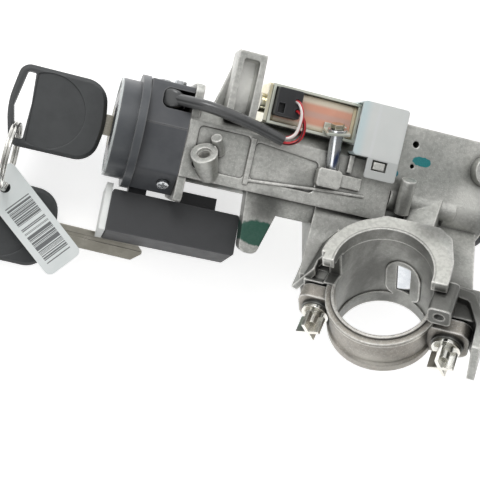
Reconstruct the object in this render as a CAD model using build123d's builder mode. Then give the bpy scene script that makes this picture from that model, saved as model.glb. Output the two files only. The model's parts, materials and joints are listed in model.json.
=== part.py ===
from build123d import *
import os
from math import asin, atan2, cos, degrees, pi, radians, sin, tan

# Car ignition switch with steering lock, key interlock solenoid, receiver box and keys.
# Millimetres. The origin is the centre of the steering column clamp.
# X runs along the key barrel from the key to the electrical switch, Y runs from the clamp
# up to the barrel, and Z points out of the flat cast front of the housing.

# How the parts lie to each other
column_yaw = 30.0            # turn of the steering column about Y, from square to the barrel
column_tilt = 40.0           # lean of the steering column out of the front plane
barrel_y = 46.5              # barrel axis above the clamp centre
barrel_z = -42.0             # barrel axis behind the clamp centre
same_body_gap = 0.1          # clearance between pieces that are fastened together
running_gap = 0.05           # radial clearance of shafts and pins that turn or slide
slide_gap = 0.2              # clearance of flat pieces that slide in guides
moulding_gap = 0.3           # gap between loose fitting curved faces

# Steering column clamp
column_r = 20.0
relief_r = 20.7              # bore of the saddle between its two contact lands
saddle_r = 26.0
saddle_front = 22.5
saddle_back = -28.5
front_band = 5.0             # thickness of the flat rim at the front of the saddle
land_length = 7.0            # length of each contact land
cap_front = 3.4
cap_back = -18.0
cap_wall = 2.6
cap_lip = 1.3                # wall and length of the thin lip at the front of the cap
cap_band = 1.2               # height of the band behind the lip
cap_band_width = 2.0
cap_rib = 1.0                # height of the rib at the back of the cap
cap_rib_width = 3.8
ear_thickness = 6.5
ear_width = 17.0
split_gap = 1.2              # gap between saddle foot and cap ear before tightening
bolt_line = -8.5            # place of both shear bolts along the column
bolt_left = -26.5
bolt_right = 30.0
ear_reach = 8.5              # metal outside each bolt axis
foot_height = 16.0
bolt_r = 4.0
bolt_hole_r = 4.5
bolt_length = 18.0
washer_r = 6.6
washer_thickness = 1.4
flange_r = 6.0
flange_thickness = 1.8
neck_r = 2.9
neck_length = 1.6
fin_length = 8.0
fin_reach = 5.4
fin_thickness = 1.6
fin_turn = 20
nut_boss_width = 9.4
nut_boss_corner = 2.0
nut_boss_hole_r = 2.1
nut_boss_s = 25.6
nut_boss_n = 11.5
nut_boss_end = -9.5
nut_boss_length = 15.0

# Barrel end of the housing
flange_front = -92.0
flange_plate = 3.6
flange_half_height = 25.6
flange_half_depth = 17.0
barrel_r = 16.5
sleeve_bore = 12.1
tail_bore = 9.5
shaft_tube_r = 8.5
switch_end_r = 18.0
barrel_shoulder = -3.0       # where the barrel steps down to the shaft tube
switch_shoulder = 30.0       # where the switch end begins
housing_end = 50.0
panel_z = -24.0              # flat cast front face
panel_low = -14.5
panel_high = 10.0
platform_top = 15.6
platform_left = -64.6
platform_right = 0.0

# Key cylinder
plug_r = 8.5
sleeve_r = sleeve_bore - same_body_gap
sleeve_front = -120.5
sleeve_length = 54.5
plug_front = -123.0
plug_head_r = 9.3
plug_head_length = 2.3
plug_back = -68.0
keyway_height = 9.6
keyway_width = 2.6
wafer_count = 7
wafer_pitch = 4.6
wafer_first = -113.0
wafer_thickness = 1.2
wafer_height = 14.4
wafer_width = 5.6
wafer_gap = 0.15
face_r = 19.7
face_rise = 1.4              # height of the cone on the lock face
face_plate = 1.6
light_ring_width = 1.4
light_ring_depth = 0.9

# Antenna ring, its flange and the two covers
ring_r = 21.6
ring_front = -121.7
ring_depth = 7.6
ring_bore = sleeve_r + moulding_gap
ring_flange_r = 24.9
ring_flange = 3.6
winding_outer = 19.5
winding_inner = 17.5
coil_groove_depth = 5.0
cover_wall = 2.2
cover_seam = 5.0             # height of the seam above the barrel axis
cover_corner = 2.0
notch_height = 8.6
notch_length = 13.0
notch_level = 16.6

# Shafts
shaft_r = 4.0
stop_disc_r = 8.6
stop_disc_front = -10.7
stop_disc_width = 3.0
cam_r = 4.6
cam_width = 8.0
cam_reach = 7.3              # room along the bolt that the turning cam needs

# Lock bolt
bolt_s = 4.3                 # sideways place of the lock bolt in the saddle
bolt_width = 6.0
bolt_depth = 17.0
bolt_travel = 6.0
yoke_half = 9.8
yoke_window = 7.4
yoke_rail = 3.2
chamber_wall = 3.6
spring_room = 9.0
chamber_cover_plate = 1.5
bolt_pad_r = 8.1             # rounded pad in the saddle around the bolt mouth

# Solenoid
solenoid_left = -60.0
solenoid_right = -20.0
solenoid_low = 62.4
solenoid_high = 79.6
solenoid_front = -24.0
solenoid_back = -42.0
bracket_sheet = 1.2
bobbin_flange = 1.4
bobbin_tube_r = 4.2
winding_r = 7.1
plunger_r = 3.0
plunger_stroke = 3.0

# Interlock cap
cap_box_left = -21.4
cap_box_right = 0.0
cap_box_high = 81.2
cap_box_low = 57.6
cap_box_front = -17.6
cap_box_back = -43.5
cap_box_wall = 1.1
latch_low = 48.9
latch_left = -14.2
latch_width = 14.2

# Receiver box
receiver_left = -116.5
receiver_right = -59.2
receiver_high = 20.4
receiver_top_z = -39.5
receiver_height = 18.6
receiver_depth = 21.0
receiver_lean = 16.0
receiver_end = 2.8

# Keys, ring and tag
key_z = barrel_z
key_head_thickness = 8.0
key_blade_width = 9.0
key_blade_thickness = 2.2
key_blade_tip = -84.0
ring_wire = 1.5

across = Vector(cos(radians(column_yaw)), 0, sin(radians(column_yaw)))
toward = Vector(-sin(radians(column_yaw)) * cos(radians(column_tilt)), sin(radians(column_tilt)),
                cos(radians(column_yaw)) * cos(radians(column_tilt)))
upward = toward.cross(across)


def clamp_slice(n):
    """Plane square to the column, at n along it; its x runs across, its y up to the barrel."""
    return Plane(origin=toward * n, x_dir=across, z_dir=toward)


def clamp_floor(v):
    """Plane square to the shear bolts at height v, facing down; its y runs along the column."""
    return Plane(origin=upward * v, x_dir=across, z_dir=upward * -1)


def barrel_slice(x):
    """Plane square to the barrel at x, centred on its axis; its x is Y and its y is Z."""
    return Plane(origin=(x, barrel_y, barrel_z), x_dir=(0, 1, 0), z_dir=(1, 0, 0))


def front_slice(z):
    """Plane facing out of the housing's front at z."""
    return Plane.XY.offset(z)


# The bolt's line crosses the barrel axis: solve for its height and place along the column
side_y = barrel_y - bolt_s * across.Y
side_z = barrel_z - bolt_s * across.Z
turn = upward.Y * toward.Z - upward.Z * toward.Y
cam_v = (side_y * toward.Z - side_z * toward.Y) / turn
bolt_n = (upward.Y * side_z - upward.Z * side_y) / turn
cam_x = bolt_s * across.X + cam_v * upward.X + bolt_n * toward.X
window_low = cam_v - cam_reach
window_high = cam_v + cam_reach + bolt_travel
yoke_top = window_high + yoke_rail
chamber_top = yoke_top + spring_room
chamber_half_s = bolt_width / 2 + slide_gap
chamber_half_n = yoke_half + slide_gap


def barrel_side():
    """Plane through the barrel axis; its x is X and its y is the distance from the axis."""
    return Plane(origin=(0, barrel_y, barrel_z), x_dir=(1, 0, 0), z_dir=(0, 0, 1))


barrel_axis = Axis((0, barrel_y, barrel_z), (1, 0, 0))


def save(piece, name):
    """Label a finished piece and write it as its own file."""
    piece.part.label = name
    export_step(piece.part, "parts/" + name + ".step")


os.makedirs("parts", exist_ok=True)

# Key cylinder, lock face and shaft
retaining_pin_r = 1.5
retaining_pin_x = -72.0
wafer_groove = 1.5           # depth of the sleeve's grooves for the wafers
face_back = -120.6
face_bore = plug_head_r + moulding_gap
face_lip = 2.0               # flat rim round the mouth of the lock face
groove_front = ring_front + face_plate
tongue_length = 4.0
tongue_width = 9.0
tongue_thickness = 3.0
keyway_end_gap = 0.8
coupling_r = 8.0
coupling_length = 7.0
journal_r = 5.8
journal_step = 3.0           # the journal ends this far before the cam
cam_offset = 1.0
cam_front = cam_x - cam_width / 2
stop_core_r = 6.4
stop_arc = (60, 5, -55, -110, -170)
flat_half = 3.4              # half the width over the drive flats
shaft_front = plug_back + same_body_gap
shaft_end = housing_end + 6.0

# Covers, their screws and ears
cover_high = 23.4
cover_low = 23.8
cover_front = ring_front + ring_depth + ring_flange + same_body_gap
cover_length = flange_front - same_body_gap - cover_front
cover_bore = sleeve_r + 1.2
cover_back = -15.4
cover_points = [(-cover_low, cover_back), (-cover_low, 6), (-14.6, 17.5), (cover_seam, 19),
                (cover_high, 15), (cover_high, cover_back)]
screw_head_r = 2.6
screw_head = 1.9
screw_shank_r = 1.5
screw_length = 7.8
screw_cross = 0.8
top_screws = ((-103.6, -46.0), (-98.0, -36.0))
low_screw_out = Vector(0, -0.78, 0.62).normalized()
low_screw_seat = Vector(-97.0, barrel_y - 18.7, barrel_z + 11.9)
screw_planes = [Plane(origin=(x, barrel_y + cover_high, z), x_dir=(1, 0, 0), z_dir=(0, 1, 0))
                for x, z in top_screws]
screw_planes.append(Plane(origin=low_screw_seat, x_dir=(1, 0, 0), z_dir=low_screw_out))
ear_out = 15.0
ear_front = -32.5
ear_back = -51.0
top_ear_high = 18.5
top_ear_low = 16.1
low_ear_width = 7.0
board_thickness = 1.2

# Foot of the lower cover, receiver socket and end cover
foot_inset = 0.6
foot_width = 8.0
foot_back = 7.4              # centre of the foot behind the box's front edge
foot_drop = 6.0
socket_left = -87.0
socket_right = -70.0
socket_height = 6.4
socket_inset = 4.0
socket_depth = 12.0
socket_wall = 1.2
socket_hollow = 7.0
end_cover_rise = 2.4

# Lead and wires
sheath_r = 2.5
wire_r = 0.8
sheath_route = [(-103.0, 63.4, -28.8), (-91.0, 63.0, -19.6), (-83.0, 62.3, -17.4),
                (-73.0, 60.8, -17.0), (-62.5, 58.7, -17.2), (-52.6, 56.2, -18.2)]
pale_wire_route = [(-56.2, 58.1, -17.8), (-52.7, 57.1, -18.1), (-49.4, 58.1, -17.6),
                   (-47.3, 60.8, -16.6), (-47.3, 68.1, -14.6), (-48.4, 71.2, -15.4),
                   (-49.3, 73.3, -17.8), (-49.7, 73.8, -21.4)]
dark_wire_route = [(-56.7, 56.1, -17.9), (-52.6, 55.1, -18.3), (-49.0, 55.5, -18.0),
                   (-46.0, 57.4, -17.6), (-44.6, 60.5, -17.3), (-45.1, 64.6, -16.3),
                   (-46.7, 67.5, -16.8), (-48.4, 69.4, -19.1), (-49.0, 70.0, -22.4)]

# Solenoid details
solenoid_y = (solenoid_low + solenoid_high) / 2
solenoid_z = (solenoid_front + solenoid_back) / 2
frame_height = solenoid_high - solenoid_low
frame_depth = solenoid_front - solenoid_back
web_high = 68.6
tab_width = 10.0
tab_front = 4.2
tab_back = 5.6
core_plate = 1.6
core_depth = 14.0
rivet_r = 4.2
plunger_end_gap = 0.6
collar_x = -12.2             # right face of the plunger's collar
collar_width = 1.2
collar_r = 4.8
neck_gap = 4.6
plunger_neck_r = 1.6
plunger_head_r = 3.4
plunger_head = 2.0
plunger_spring_r = 4.0
plunger_spring_wire = 0.6
plunger_spring_length = 2.2
connector_left = -58.4
connector_right = -47.4
connector_low = 66.2
connector_high = 78.2
connector_front = -19.9
connector_back = -25.5
wire_hole_depth = 4.0
latch_pocket = 2.4

# Post, its washer and screw
post_r = 2.9
post_base = Vector(-26.6, 48.4, -24.6)
post_up = Vector(-0.18, 0.94, 0.295).normalized()
post_length = 17.0
post_seat = 3.0
post_washer_r = 4.2
post_washer_thickness = 0.9
post_screw_head_r = 3.0
post_screw_head = 2.0
post_screw_r = 1.7
post_screw_length = 11.0
post_plane = Plane(origin=post_base - post_up * post_seat, z_dir=post_up)
post_top = post_base + post_up * post_length
tab_plane = Plane(origin=post_top + post_up * same_body_gap, x_dir=(1, 0, 0), z_dir=post_up)

# Interlock lever, its pocket and the latch of the cap
latch_nose_x = -8.3
latch_nose_y = 54.8
latch_nose_half = 1.6
window_width = 7.0
window_height = 4.5
lever_x = -11.4
lever_y = 59.4
lever_arm = solenoid_y - lever_y
lever_hub_r = 2.5
lever_pin_r = 1.2
lever_pin_seat = 2.6
lever_thickness = 2.4
lever_back = -43.6
lever_front = -31.1
nose_reach = 6.0
nose_width = 3.2
fork_foot = 4.2
fork_back = -37.0
fork_front = -29.0

# Lock bolt details
bolt_inset = 0.4             # the bolt's tip stands this far outside the column
chamber_cover_plug = 1.2
bolt_spring_r = 2.3
bolt_spring_wire = 0.7

# Electrical switch
recess_r = 12.6
recess_depth = 3.0
switch_front = housing_end - recess_depth + same_body_gap
switch_lip_r = 17.4
switch_lip = 3.0
switch_body_length = 16.0
switch_screw_ring = 15.2
switch_screw_r = 1.3
switch_screw_angle = 45
rotor_r = 10.5
rotor_length = 6.0
socket_front = housing_end + 12.0
switch_socket_width = 25.0
switch_socket_height = 13.0
switch_socket_length = 10.0
switch_socket_depth = 8.0
terminal_base = housing_end + 10.0
terminal_pitch = 4.2
terminal_count = 5
terminal_width = 2.8
terminal_sheet = 0.8
terminal_length = 8.0

# Key outline, slot and recess, in the plane that faces the front
key_points = [(-164.3, 64.2), (-128.0, 63.8), (-124.9, 46.2), (-128.3, 28.9), (-163.6, 29.1),
              (-167.3, 46)]
key_corners = [5.0, 10.0, 45.0, 9.5, 5.0, 35.0]
key_edge = 1.6
key_root = -126.0
key_seat = 10.0
key_groove = 0.5
key_groove_width = 1.8
slot_points = [(-161.6, 61.3), (-158.0, 61.3), (-157.4, 48), (-158.2, 32.6), (-161.8, 32.4),
               (-164.6, 46)]
key_recess = 0.5
recess_x = -150.5
recess_circle_r = 16.0
recess_left = -157.0

# Place of the spare key: its turn in the front plane and its lean back
spare_turn = radians(-2.7)
spare_lean = radians(9.4)
spare_root = Vector(-137.7, -4.9, -56.6)
spare_x = Vector(cos(spare_turn) * cos(spare_lean), sin(spare_turn) * cos(spare_lean),
                 -sin(spare_lean))
spare_z = spare_x.cross(Vector(-sin(spare_turn), cos(spare_turn), 0)).normalized()
spare_y = spare_z.cross(spare_x)
spare_key = Plane(origin=spare_root - spare_x * key_root - spare_y * barrel_y, x_dir=spare_x,
                  z_dir=spare_z)

# Ring and tag
ring_loop_r = 14.4
ring_centre = Vector(-161.65, 24.4, -38.9)
ring_normal = Vector(0.996, -0.035, 0.07).normalized()
ring_radial = ring_normal.cross(Vector(0, 0, 1)).normalized()
ring_wire_shift = 0.7
tag_width = 18.0
tag_length = 50.0
tag_thickness = 0.9
tag_hole_r = 2.4
tag_hole_inset = 7.6
tag_turn = radians(-41.0)
tag_face = Plane(origin=(-161.5, 10.7, -45.5), x_dir=(cos(tag_turn), sin(tag_turn), 0),
                 z_dir=(0, 0, 1))

# Shape of the die cast lock housing
panel_dz = panel_z - barrel_z
shoulder_drop = 5.0          # slope between the panel and the platform on top
shoulder_points = [(panel_low, 0), (panel_low, panel_dz), (panel_high, panel_dz),
                   (platform_top, panel_dz - shoulder_drop), (platform_top, -8), (0, -8)]
low_ear_depth = 6.0
low_ear_thickness = 3.2
arm_points = [(-61.6, 40), (-58.8, 5.6), (-51.2, 5.6), (-46.0, 24), (-46.0, 40)]
lug_low = 60.0
lug_flare = 0.6
lug_lip = 3.0
body_high = 46.0
tower_head_y = 36.0
tower_head_x = 9.5
tower_head_z = -42.0
tower_head_width = 77.0
tower_head_depth = 27.0
band_points = [(-24.6, -2.8), (-24.0, 6), (-17.0, 19.5), (-6.0, 26.6), (16.6, 26.6),
               (22.6, 22.4), (26.0, 10.6), (26.4, -1.4)]
foot_inner = 19.0
# Walls beside the feet: left one seen from above, right one seen along the column
web_points = [(-24.5, 17.0), (-41.8, -10.0), (-39.3, -11.6), (-22.0, 15.4)]
web_low = 2.0
web_height = 16.0
flank_points = [(22, 14), (36, 12), (43.5, -2), (43.5, -14), (40.2, -14), (39.8, -3), (34.5, 7.5),
                (22, 9.5)]
flank_back = -20.0
flank_front = 4.0
head_boss_height = 6.0
pad_reach = 4.0
side_room_v = 2.0
side_room_s = -24.0
plate_holes = ((8.3, 68.4, 1.5), (8.8, 58.6, 1.0))
peg_base = Vector(8.4, 37.5, -23.0)
peg_up = Vector(-0.13, 0.92, 0.375).normalized()
peg_length = 16.0
peg_r = 3.3
journal_end = cam_front + cam_width + 1
boss_r = 5.8
boss_root_r = 4.2
boss_hole_r = 3.0
boss_face = Vector(-84.3, 43.6, -17.5)
boss_length = 14.0
stub_r = 2.4
stub_face = Vector(-80.3, 50.9, -18.6)
stub_length = 9.0
lug_left = -77.6
lug_right = -65.4
lug_top = 89.8
lug_back = -37.0
lug_wall = 2.6
lug_channel_depth = 9.0
plate_left = 1.5
plate_top = 76.3
plate_low = 46.0
plate_depth = 20.0
arm_back = -36.0
arm_thickness = 8.0
body_low = 24.0
body_left = -47.0
body_back = -56.0
body_front = -28.0
tower_left = -38.0
tower_right = 37.0
tower_front = 0.0
tower_back = -27.0
tower_foot = 3.0
rib_x = -63.4
rib_width = 2.0
rib_height = 0.6
panel_recess = 0.8
panel_recesses = ([(-87.5, 36.6), (-87.5, 55.0), (-64.6, 55.0), (-64.6, 36.6)],
                  [(-62.2, 37.2), (-62.2, 53.6), (-33.0, 50.8), (-33.0, 37.2)])
seam_points = [(-64.0, 36.4), (-31.5, 39.3), (-10.0, 40.7)]
seam_width = 1.2
seam_height = 0.5
post_block_left = -33.7
post_block_right = -23.0
post_block_low = 41.0
post_block_high = 49.0
post_block_front = -19.5
ledge_right = -13.0
ledge_low = 42.5
ledge_high = 48.0
ledge_front = -22.5
fence_left = -20.6
fence_right = -18.6
fence_low = 49.4
fence_high = 57.0
fence_front = -22.0
ridge_left = 2.0
ridge_right = 34.0
ridge_y = 43.4
ridge_z = -29.5
ridge_r = 6.2
head_boss_r = 7.0
head_boss_x = 43.0
head_boss_y = 64.0
half_bolt = bolt_depth / 2
yoke_bottom = window_low - yoke_rail - 3.0
sleeve_back = sleeve_front + sleeve_length
pocket_left = -19.0
pocket_right = -4.0
pocket_low = 52.0
pocket_high = 64.0
pocket_back = -44.0
pocket_front = -30.5

boss_plane = Plane(origin=boss_face, x_dir=across, z_dir=toward)
pin_plane = Plane(origin=(retaining_pin_x, barrel_y, barrel_z), x_dir=(1, 0, 0), z_dir=(0, 0, -1))

# The die cast lock housing
with BuildPart() as lock_housing:
    # barrel, shaft tube and switch end turned on one axis
    with BuildSketch(barrel_side()):
        with BuildLine():
            Polyline((flange_front, 0), (flange_front, barrel_r), (barrel_shoulder, barrel_r),
                     (barrel_shoulder + 5, shaft_tube_r), (switch_shoulder - 13, shaft_tube_r),
                     (switch_shoulder, switch_end_r), (housing_end, switch_end_r),
                     (housing_end, 0), close=True)
        make_face()
    revolve(axis=barrel_axis)
    # flat front panel with the sloped shoulder under the lead
    with BuildSketch(barrel_slice(flange_front)):
        with BuildLine():
            Polyline(*shoulder_points, close=True)
        make_face()
    extrude(amount=platform_right - flange_front + plate_left)
    # front flange that carries the covers
    with BuildSketch(barrel_slice(flange_front)):
        RectangleRounded(2 * flange_half_height, 2 * flange_half_depth, 4)
    extrude(amount=flange_plate)
    # round ridge between the shaft tube and the plate
    with BuildSketch(Plane(origin=(ridge_left, ridge_y, ridge_z), x_dir=(0, 1, 0), z_dir=(1, 0, 0))):
        Circle(ridge_r)
    extrude(amount=ridge_right - ridge_left)
    # lower body between the arm and the tower
    with BuildSketch(front_slice(body_back)):
        with BuildLine():
            Polyline((body_left, body_high), (body_left, body_low), (switch_shoulder, body_low),
                     (switch_shoulder, body_high), close=True)
        make_face()
    extrude(amount=body_front - body_back)
    # plate over the interlock end
    with BuildSketch(front_slice(panel_z - plate_depth)):
        with Locations(((plate_left + housing_end) / 2, (plate_top + plate_low) / 2)):
            Rectangle(housing_end - plate_left, plate_top - plate_low)
    extrude(amount=plate_depth)
    # channelled lug
    with BuildSketch(front_slice(lug_back)):
        with BuildLine():
            Polyline((lug_left, lug_top), (lug_left - lug_flare, lug_low), (lug_right + lug_flare, lug_low),
                     (lug_right, lug_top), close=True)
        make_face()
    extrude(amount=panel_z - lug_back)
    with BuildSketch(front_slice(lug_back)):
        with BuildLine():
            Polyline((lug_left, lug_top - 2 * lug_lip), (lug_left - 2 * lug_lip, lug_low),
                     (lug_left, lug_low), close=True)
        make_face()
    extrude(amount=lug_wall)
    with BuildSketch(front_slice(panel_z)):
        with Locations(((lug_left + lug_right) / 2, (lug_top - lug_lip + lug_low + 1) / 2)):
            RectangleRounded(lug_right - lug_left - 2 * lug_wall, lug_top - lug_lip - lug_low - 1, 1.2)
    extrude(amount=-lug_channel_depth, mode=Mode.SUBTRACT)
    # arm that reaches past the receiver box
    with BuildSketch(front_slice(arm_back)) as arm_outline:
        with BuildLine():
            Polyline(*arm_points, close=True)
        make_face()
        fillet(arm_outline.vertices().sort_by(Axis.Y)[:2], 3.4)
    extrude(amount=arm_thickness)
    # tapered tower from the barrel down to the clamp
    with BuildSketch(Plane(origin=upward * tower_foot, x_dir=across, z_dir=upward)):
        with Locations(((tower_left + tower_right) / 2, -(tower_front + tower_back) / 2)):
            Rectangle(tower_right - tower_left, tower_front - tower_back)
    with BuildSketch(Plane(origin=(0, tower_head_y, 0), x_dir=(1, 0, 0), z_dir=(0, 1, 0))):
        with Locations((tower_head_x, -tower_head_z)):
            Rectangle(tower_head_width, tower_head_depth)
    loft(ruled=True)
    # saddle: half ring with a flat rim at the front
    with BuildSketch(clamp_slice(saddle_back)):
        Circle(saddle_r)
        with Locations((0, -saddle_r / 2)):
            Rectangle(2 * saddle_r, saddle_r + split_gap, mode=Mode.SUBTRACT)
    extrude(amount=saddle_front - saddle_back)
    with BuildSketch(clamp_slice(saddle_front - front_band)) as band:
        with BuildLine():
            Polyline(*band_points, close=True)
        make_face()
        fillet(band.vertices().sort_by(Axis.Y)[2:], 3.0)
    extrude(amount=front_band)
    # feet for the two shear bolts
    for bolt_place, inner in ((bolt_left, -foot_inner), (bolt_right, foot_inner)):
        outer = bolt_place + (ear_reach if bolt_place > 0 else -ear_reach)
        with BuildSketch(clamp_floor(split_gap / 2)):
            with Locations(((inner + outer) / 2, bolt_line)):
                Rectangle(abs(outer - inner), ear_width)
        extrude(amount=-foot_height)
    # slanted web beside the left foot and curved flank beside the right one
    with BuildSketch(clamp_floor(web_low)):
        with BuildLine():
            Polyline(*web_points, close=True)
        make_face()
    extrude(amount=-web_height)
    with BuildSketch(clamp_slice(flank_back)) as flank:
        with BuildLine():
            Polyline(*flank_points, close=True)
        make_face()
        fillet([corner for corner in flank.vertices() if corner.X > 30 and corner.Y > -10], 3)
    extrude(amount=flank_front - flank_back)
    # nut boss in front of the right foot
    with BuildSketch(clamp_floor(nut_boss_end)):
        with Locations((nut_boss_s, nut_boss_n)):
            RectangleRounded(nut_boss_width, nut_boss_width, nut_boss_corner)
    extrude(amount=-nut_boss_length)
    # bolt chamber, square tower along the lock bolt
    with BuildSketch(Plane(origin=upward * (column_r + 2), x_dir=across, z_dir=upward)):
        with Locations((bolt_s, -bolt_n)):
            Rectangle(2 * (chamber_half_s + chamber_wall), 2 * (chamber_half_n + chamber_wall))
    extrude(amount=chamber_top - column_r - 2)
    # two shallow recesses in the panel and the raised line under them
    for corners in panel_recesses:
        with BuildSketch(front_slice(panel_z)) as recess:
            with BuildLine():
                Polyline(*corners, close=True)
            make_face()
            fillet(recess.vertices(), 2)
        extrude(amount=-panel_recess, mode=Mode.SUBTRACT)
    with BuildSketch(front_slice(panel_z)):
        with BuildLine():
            Polyline(*[(x, y + seam_width / 2) for x, y in seam_points],
                     *[(x, y - seam_width / 2) for x, y in reversed(seam_points)], close=True)
        make_face()
    extrude(amount=seam_height)
    # block round the foot of the post, its ledge and the thin wall above it
    with BuildSketch(front_slice(panel_z)):
        with Locations(((post_block_left + post_block_right) / 2, (post_block_low + post_block_high) / 2)):
            RectangleRounded(post_block_right - post_block_left, post_block_high - post_block_low, 1.5)
    extrude(amount=post_block_front - panel_z)
    with BuildSketch(front_slice(panel_z)):
        with Locations(((post_block_right + ledge_right) / 2, (ledge_low + ledge_high) / 2)):
            Rectangle(ledge_right - post_block_right, ledge_high - ledge_low)
    extrude(amount=ledge_front - panel_z)
    with BuildSketch(front_slice(panel_z)):
        with Locations(((fence_left + fence_right) / 2, (fence_low + fence_high) / 2)):
            Rectangle(fence_right - fence_left, fence_high - fence_low)
    extrude(amount=fence_front - panel_z)
    # threaded boss and stub on the panel
    with BuildSketch(boss_plane):
        Circle(boss_r)
    with BuildSketch(boss_plane.offset(-boss_length)):
        Circle(boss_root_r)
    loft(ruled=True)
    with BuildSketch(Plane(origin=stub_face, x_dir=across, z_dir=toward)):
        Circle(stub_r)
    extrude(amount=-stub_length)
    # rib across the panel
    with BuildSketch(front_slice(panel_z)):
        with Locations((rib_x, barrel_y - 2)):
            Rectangle(rib_width, 20)
    extrude(amount=rib_height)
    # round boss near the switch end
    with BuildSketch(front_slice(panel_z)):
        with Locations((head_boss_x, head_boss_y)):
            Circle(head_boss_r)
    extrude(amount=head_boss_height)
    # flat topped peg in front of the shaft tube
    with BuildSketch(Plane(origin=peg_base, x_dir=(1, 0, 0), z_dir=peg_up)):
        Circle(peg_r)
    extrude(amount=peg_length)
    # hook that holds the cap's latch window
    with BuildSketch(front_slice(panel_z)):
        with Locations((latch_nose_x, latch_nose_y)):
            Rectangle(window_width - 2, 2 * latch_nose_half)
    extrude(amount=cap_box_front - panel_z - 0.5)
    # ears inside the covers for their screws
    with BuildSketch(barrel_slice(flange_front - ear_out)):
        with Locations(((top_ear_low + top_ear_high) / 2, (ear_front + ear_back) / 2 - barrel_z)):
            Rectangle(top_ear_high - top_ear_low, ear_front - ear_back)
    extrude(amount=ear_out + 1)
    low_ear = low_screw_seat - low_screw_out * low_ear_depth
    with BuildSketch(barrel_slice(flange_front - ear_out / 2 - 2)):
        with Locations((low_ear.Y - barrel_y, low_ear.Z - barrel_z)):
            Rectangle(low_ear_thickness, low_ear_width,
                      rotation=degrees(atan2(low_screw_out.Z, low_screw_out.Y)))
    extrude(amount=ear_out / 2 + 3)
    # flat top under the solenoid and the cap
    with BuildSketch(front_slice(barrel_z - barrel_r)):
        with Locations(((platform_left + plate_left) / 2, barrel_y + platform_top + shoulder_drop)):
            Rectangle(plate_left - platform_left, 2 * shoulder_drop)
    extrude(amount=2 * barrel_r, mode=Mode.SUBTRACT)
    # relief, bolt pad and clamp bore
    with BuildSketch(clamp_slice(saddle_back + land_length)):
        Circle(relief_r)
    extrude(amount=saddle_front - saddle_back - 2 * land_length, mode=Mode.SUBTRACT)
    with BuildSketch(Plane(origin=upward * (column_r - pad_reach), x_dir=across, z_dir=upward)):
        with Locations((bolt_s, -bolt_n + 1)):
            RectangleRounded(2 * bolt_pad_r, 2 * (half_bolt + pad_reach), bolt_pad_r - 0.5)
    extrude(amount=2 * pad_reach)
    with BuildSketch(clamp_slice(2 * saddle_back)):
        Circle(column_r)
    extrude(amount=3 * saddle_front - 2 * saddle_back, mode=Mode.SUBTRACT)
    # opening in the left wall of the saddle
    with BuildSketch(clamp_slice(tower_front + 1)):
        with Locations((side_room_s, side_room_v)):
            Rectangle(12, 9)
    extrude(amount=saddle_front - front_band - tower_front - 2, mode=Mode.SUBTRACT)
    # key cylinder bore, tail room, journal bore and shaft bore
    with BuildSketch(barrel_slice(flange_front)):
        Circle(sleeve_bore)
    extrude(amount=sleeve_back + same_body_gap - flange_front, mode=Mode.SUBTRACT)
    with BuildSketch(barrel_slice(flange_front)):
        Circle(tail_bore)
    extrude(amount=stop_disc_front + stop_disc_width + 0.7 - flange_front, mode=Mode.SUBTRACT)
    with BuildSketch(barrel_slice(flange_front)):
        Circle(journal_r + running_gap)
    extrude(amount=journal_end - flange_front, mode=Mode.SUBTRACT)
    with BuildSketch(barrel_slice(flange_front)):
        Circle(shaft_r + running_gap)
    extrude(amount=housing_end - flange_front, mode=Mode.SUBTRACT)
    # switch recess at the right end
    with BuildSketch(barrel_slice(housing_end - recess_depth)):
        Circle(recess_r)
    extrude(amount=recess_depth, mode=Mode.SUBTRACT)
    with BuildSketch(barrel_slice(housing_end)):
        with PolarLocations(switch_screw_ring, 2, start_angle=switch_screw_angle):
            Circle(switch_screw_r + same_body_gap)
    extrude(amount=-2 * switch_lip - 1, mode=Mode.SUBTRACT)
    # guide of the lock bolt and room of its yoke
    with BuildSketch(Plane(origin=upward * (column_r - 5), x_dir=across, z_dir=upward)):
        with Locations((bolt_s, -bolt_n)):
            Rectangle(2 * chamber_half_s, 2 * (half_bolt + slide_gap))
    extrude(amount=yoke_bottom - column_r + 5, mode=Mode.SUBTRACT)
    with BuildSketch(Plane(origin=upward * (yoke_bottom - bolt_travel - 0.05), x_dir=across,
                           z_dir=upward)):
        with Locations((bolt_s, -bolt_n)):
            Rectangle(2 * chamber_half_s, 2 * chamber_half_n)
    extrude(amount=chamber_top - yoke_bottom + bolt_travel + 0.05, mode=Mode.SUBTRACT)
    # interlock pocket under the cap and the hole of the lever's pin
    with BuildSketch(front_slice(pocket_back)):
        with Locations(((pocket_left + pocket_right) / 2, (pocket_low + pocket_high) / 2)):
            Rectangle(pocket_right - pocket_left, pocket_high - pocket_low)
    extrude(amount=pocket_front - pocket_back, mode=Mode.SUBTRACT)
    with BuildSketch(front_slice(lever_front + lever_pin_seat + same_body_gap)):
        with Locations((lever_x, lever_y)):
            Circle(lever_pin_r + same_body_gap)
    extrude(amount=-shaft_tube_r * 3, mode=Mode.SUBTRACT)
    # holes of the cover screws and the retaining pin
    for seat in screw_planes:
        with BuildSketch(seat):
            Circle(screw_shank_r + same_body_gap)
        extrude(amount=-screw_length - 0.4, mode=Mode.SUBTRACT)
    with BuildSketch(pin_plane):
        Circle(retaining_pin_r + same_body_gap)
    extrude(amount=barrel_r + 1, mode=Mode.SUBTRACT)
    # seat of the mounting post
    with BuildSketch(post_plane):
        Circle(post_r + same_body_gap)
    extrude(amount=post_length + 6, mode=Mode.SUBTRACT)
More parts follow.
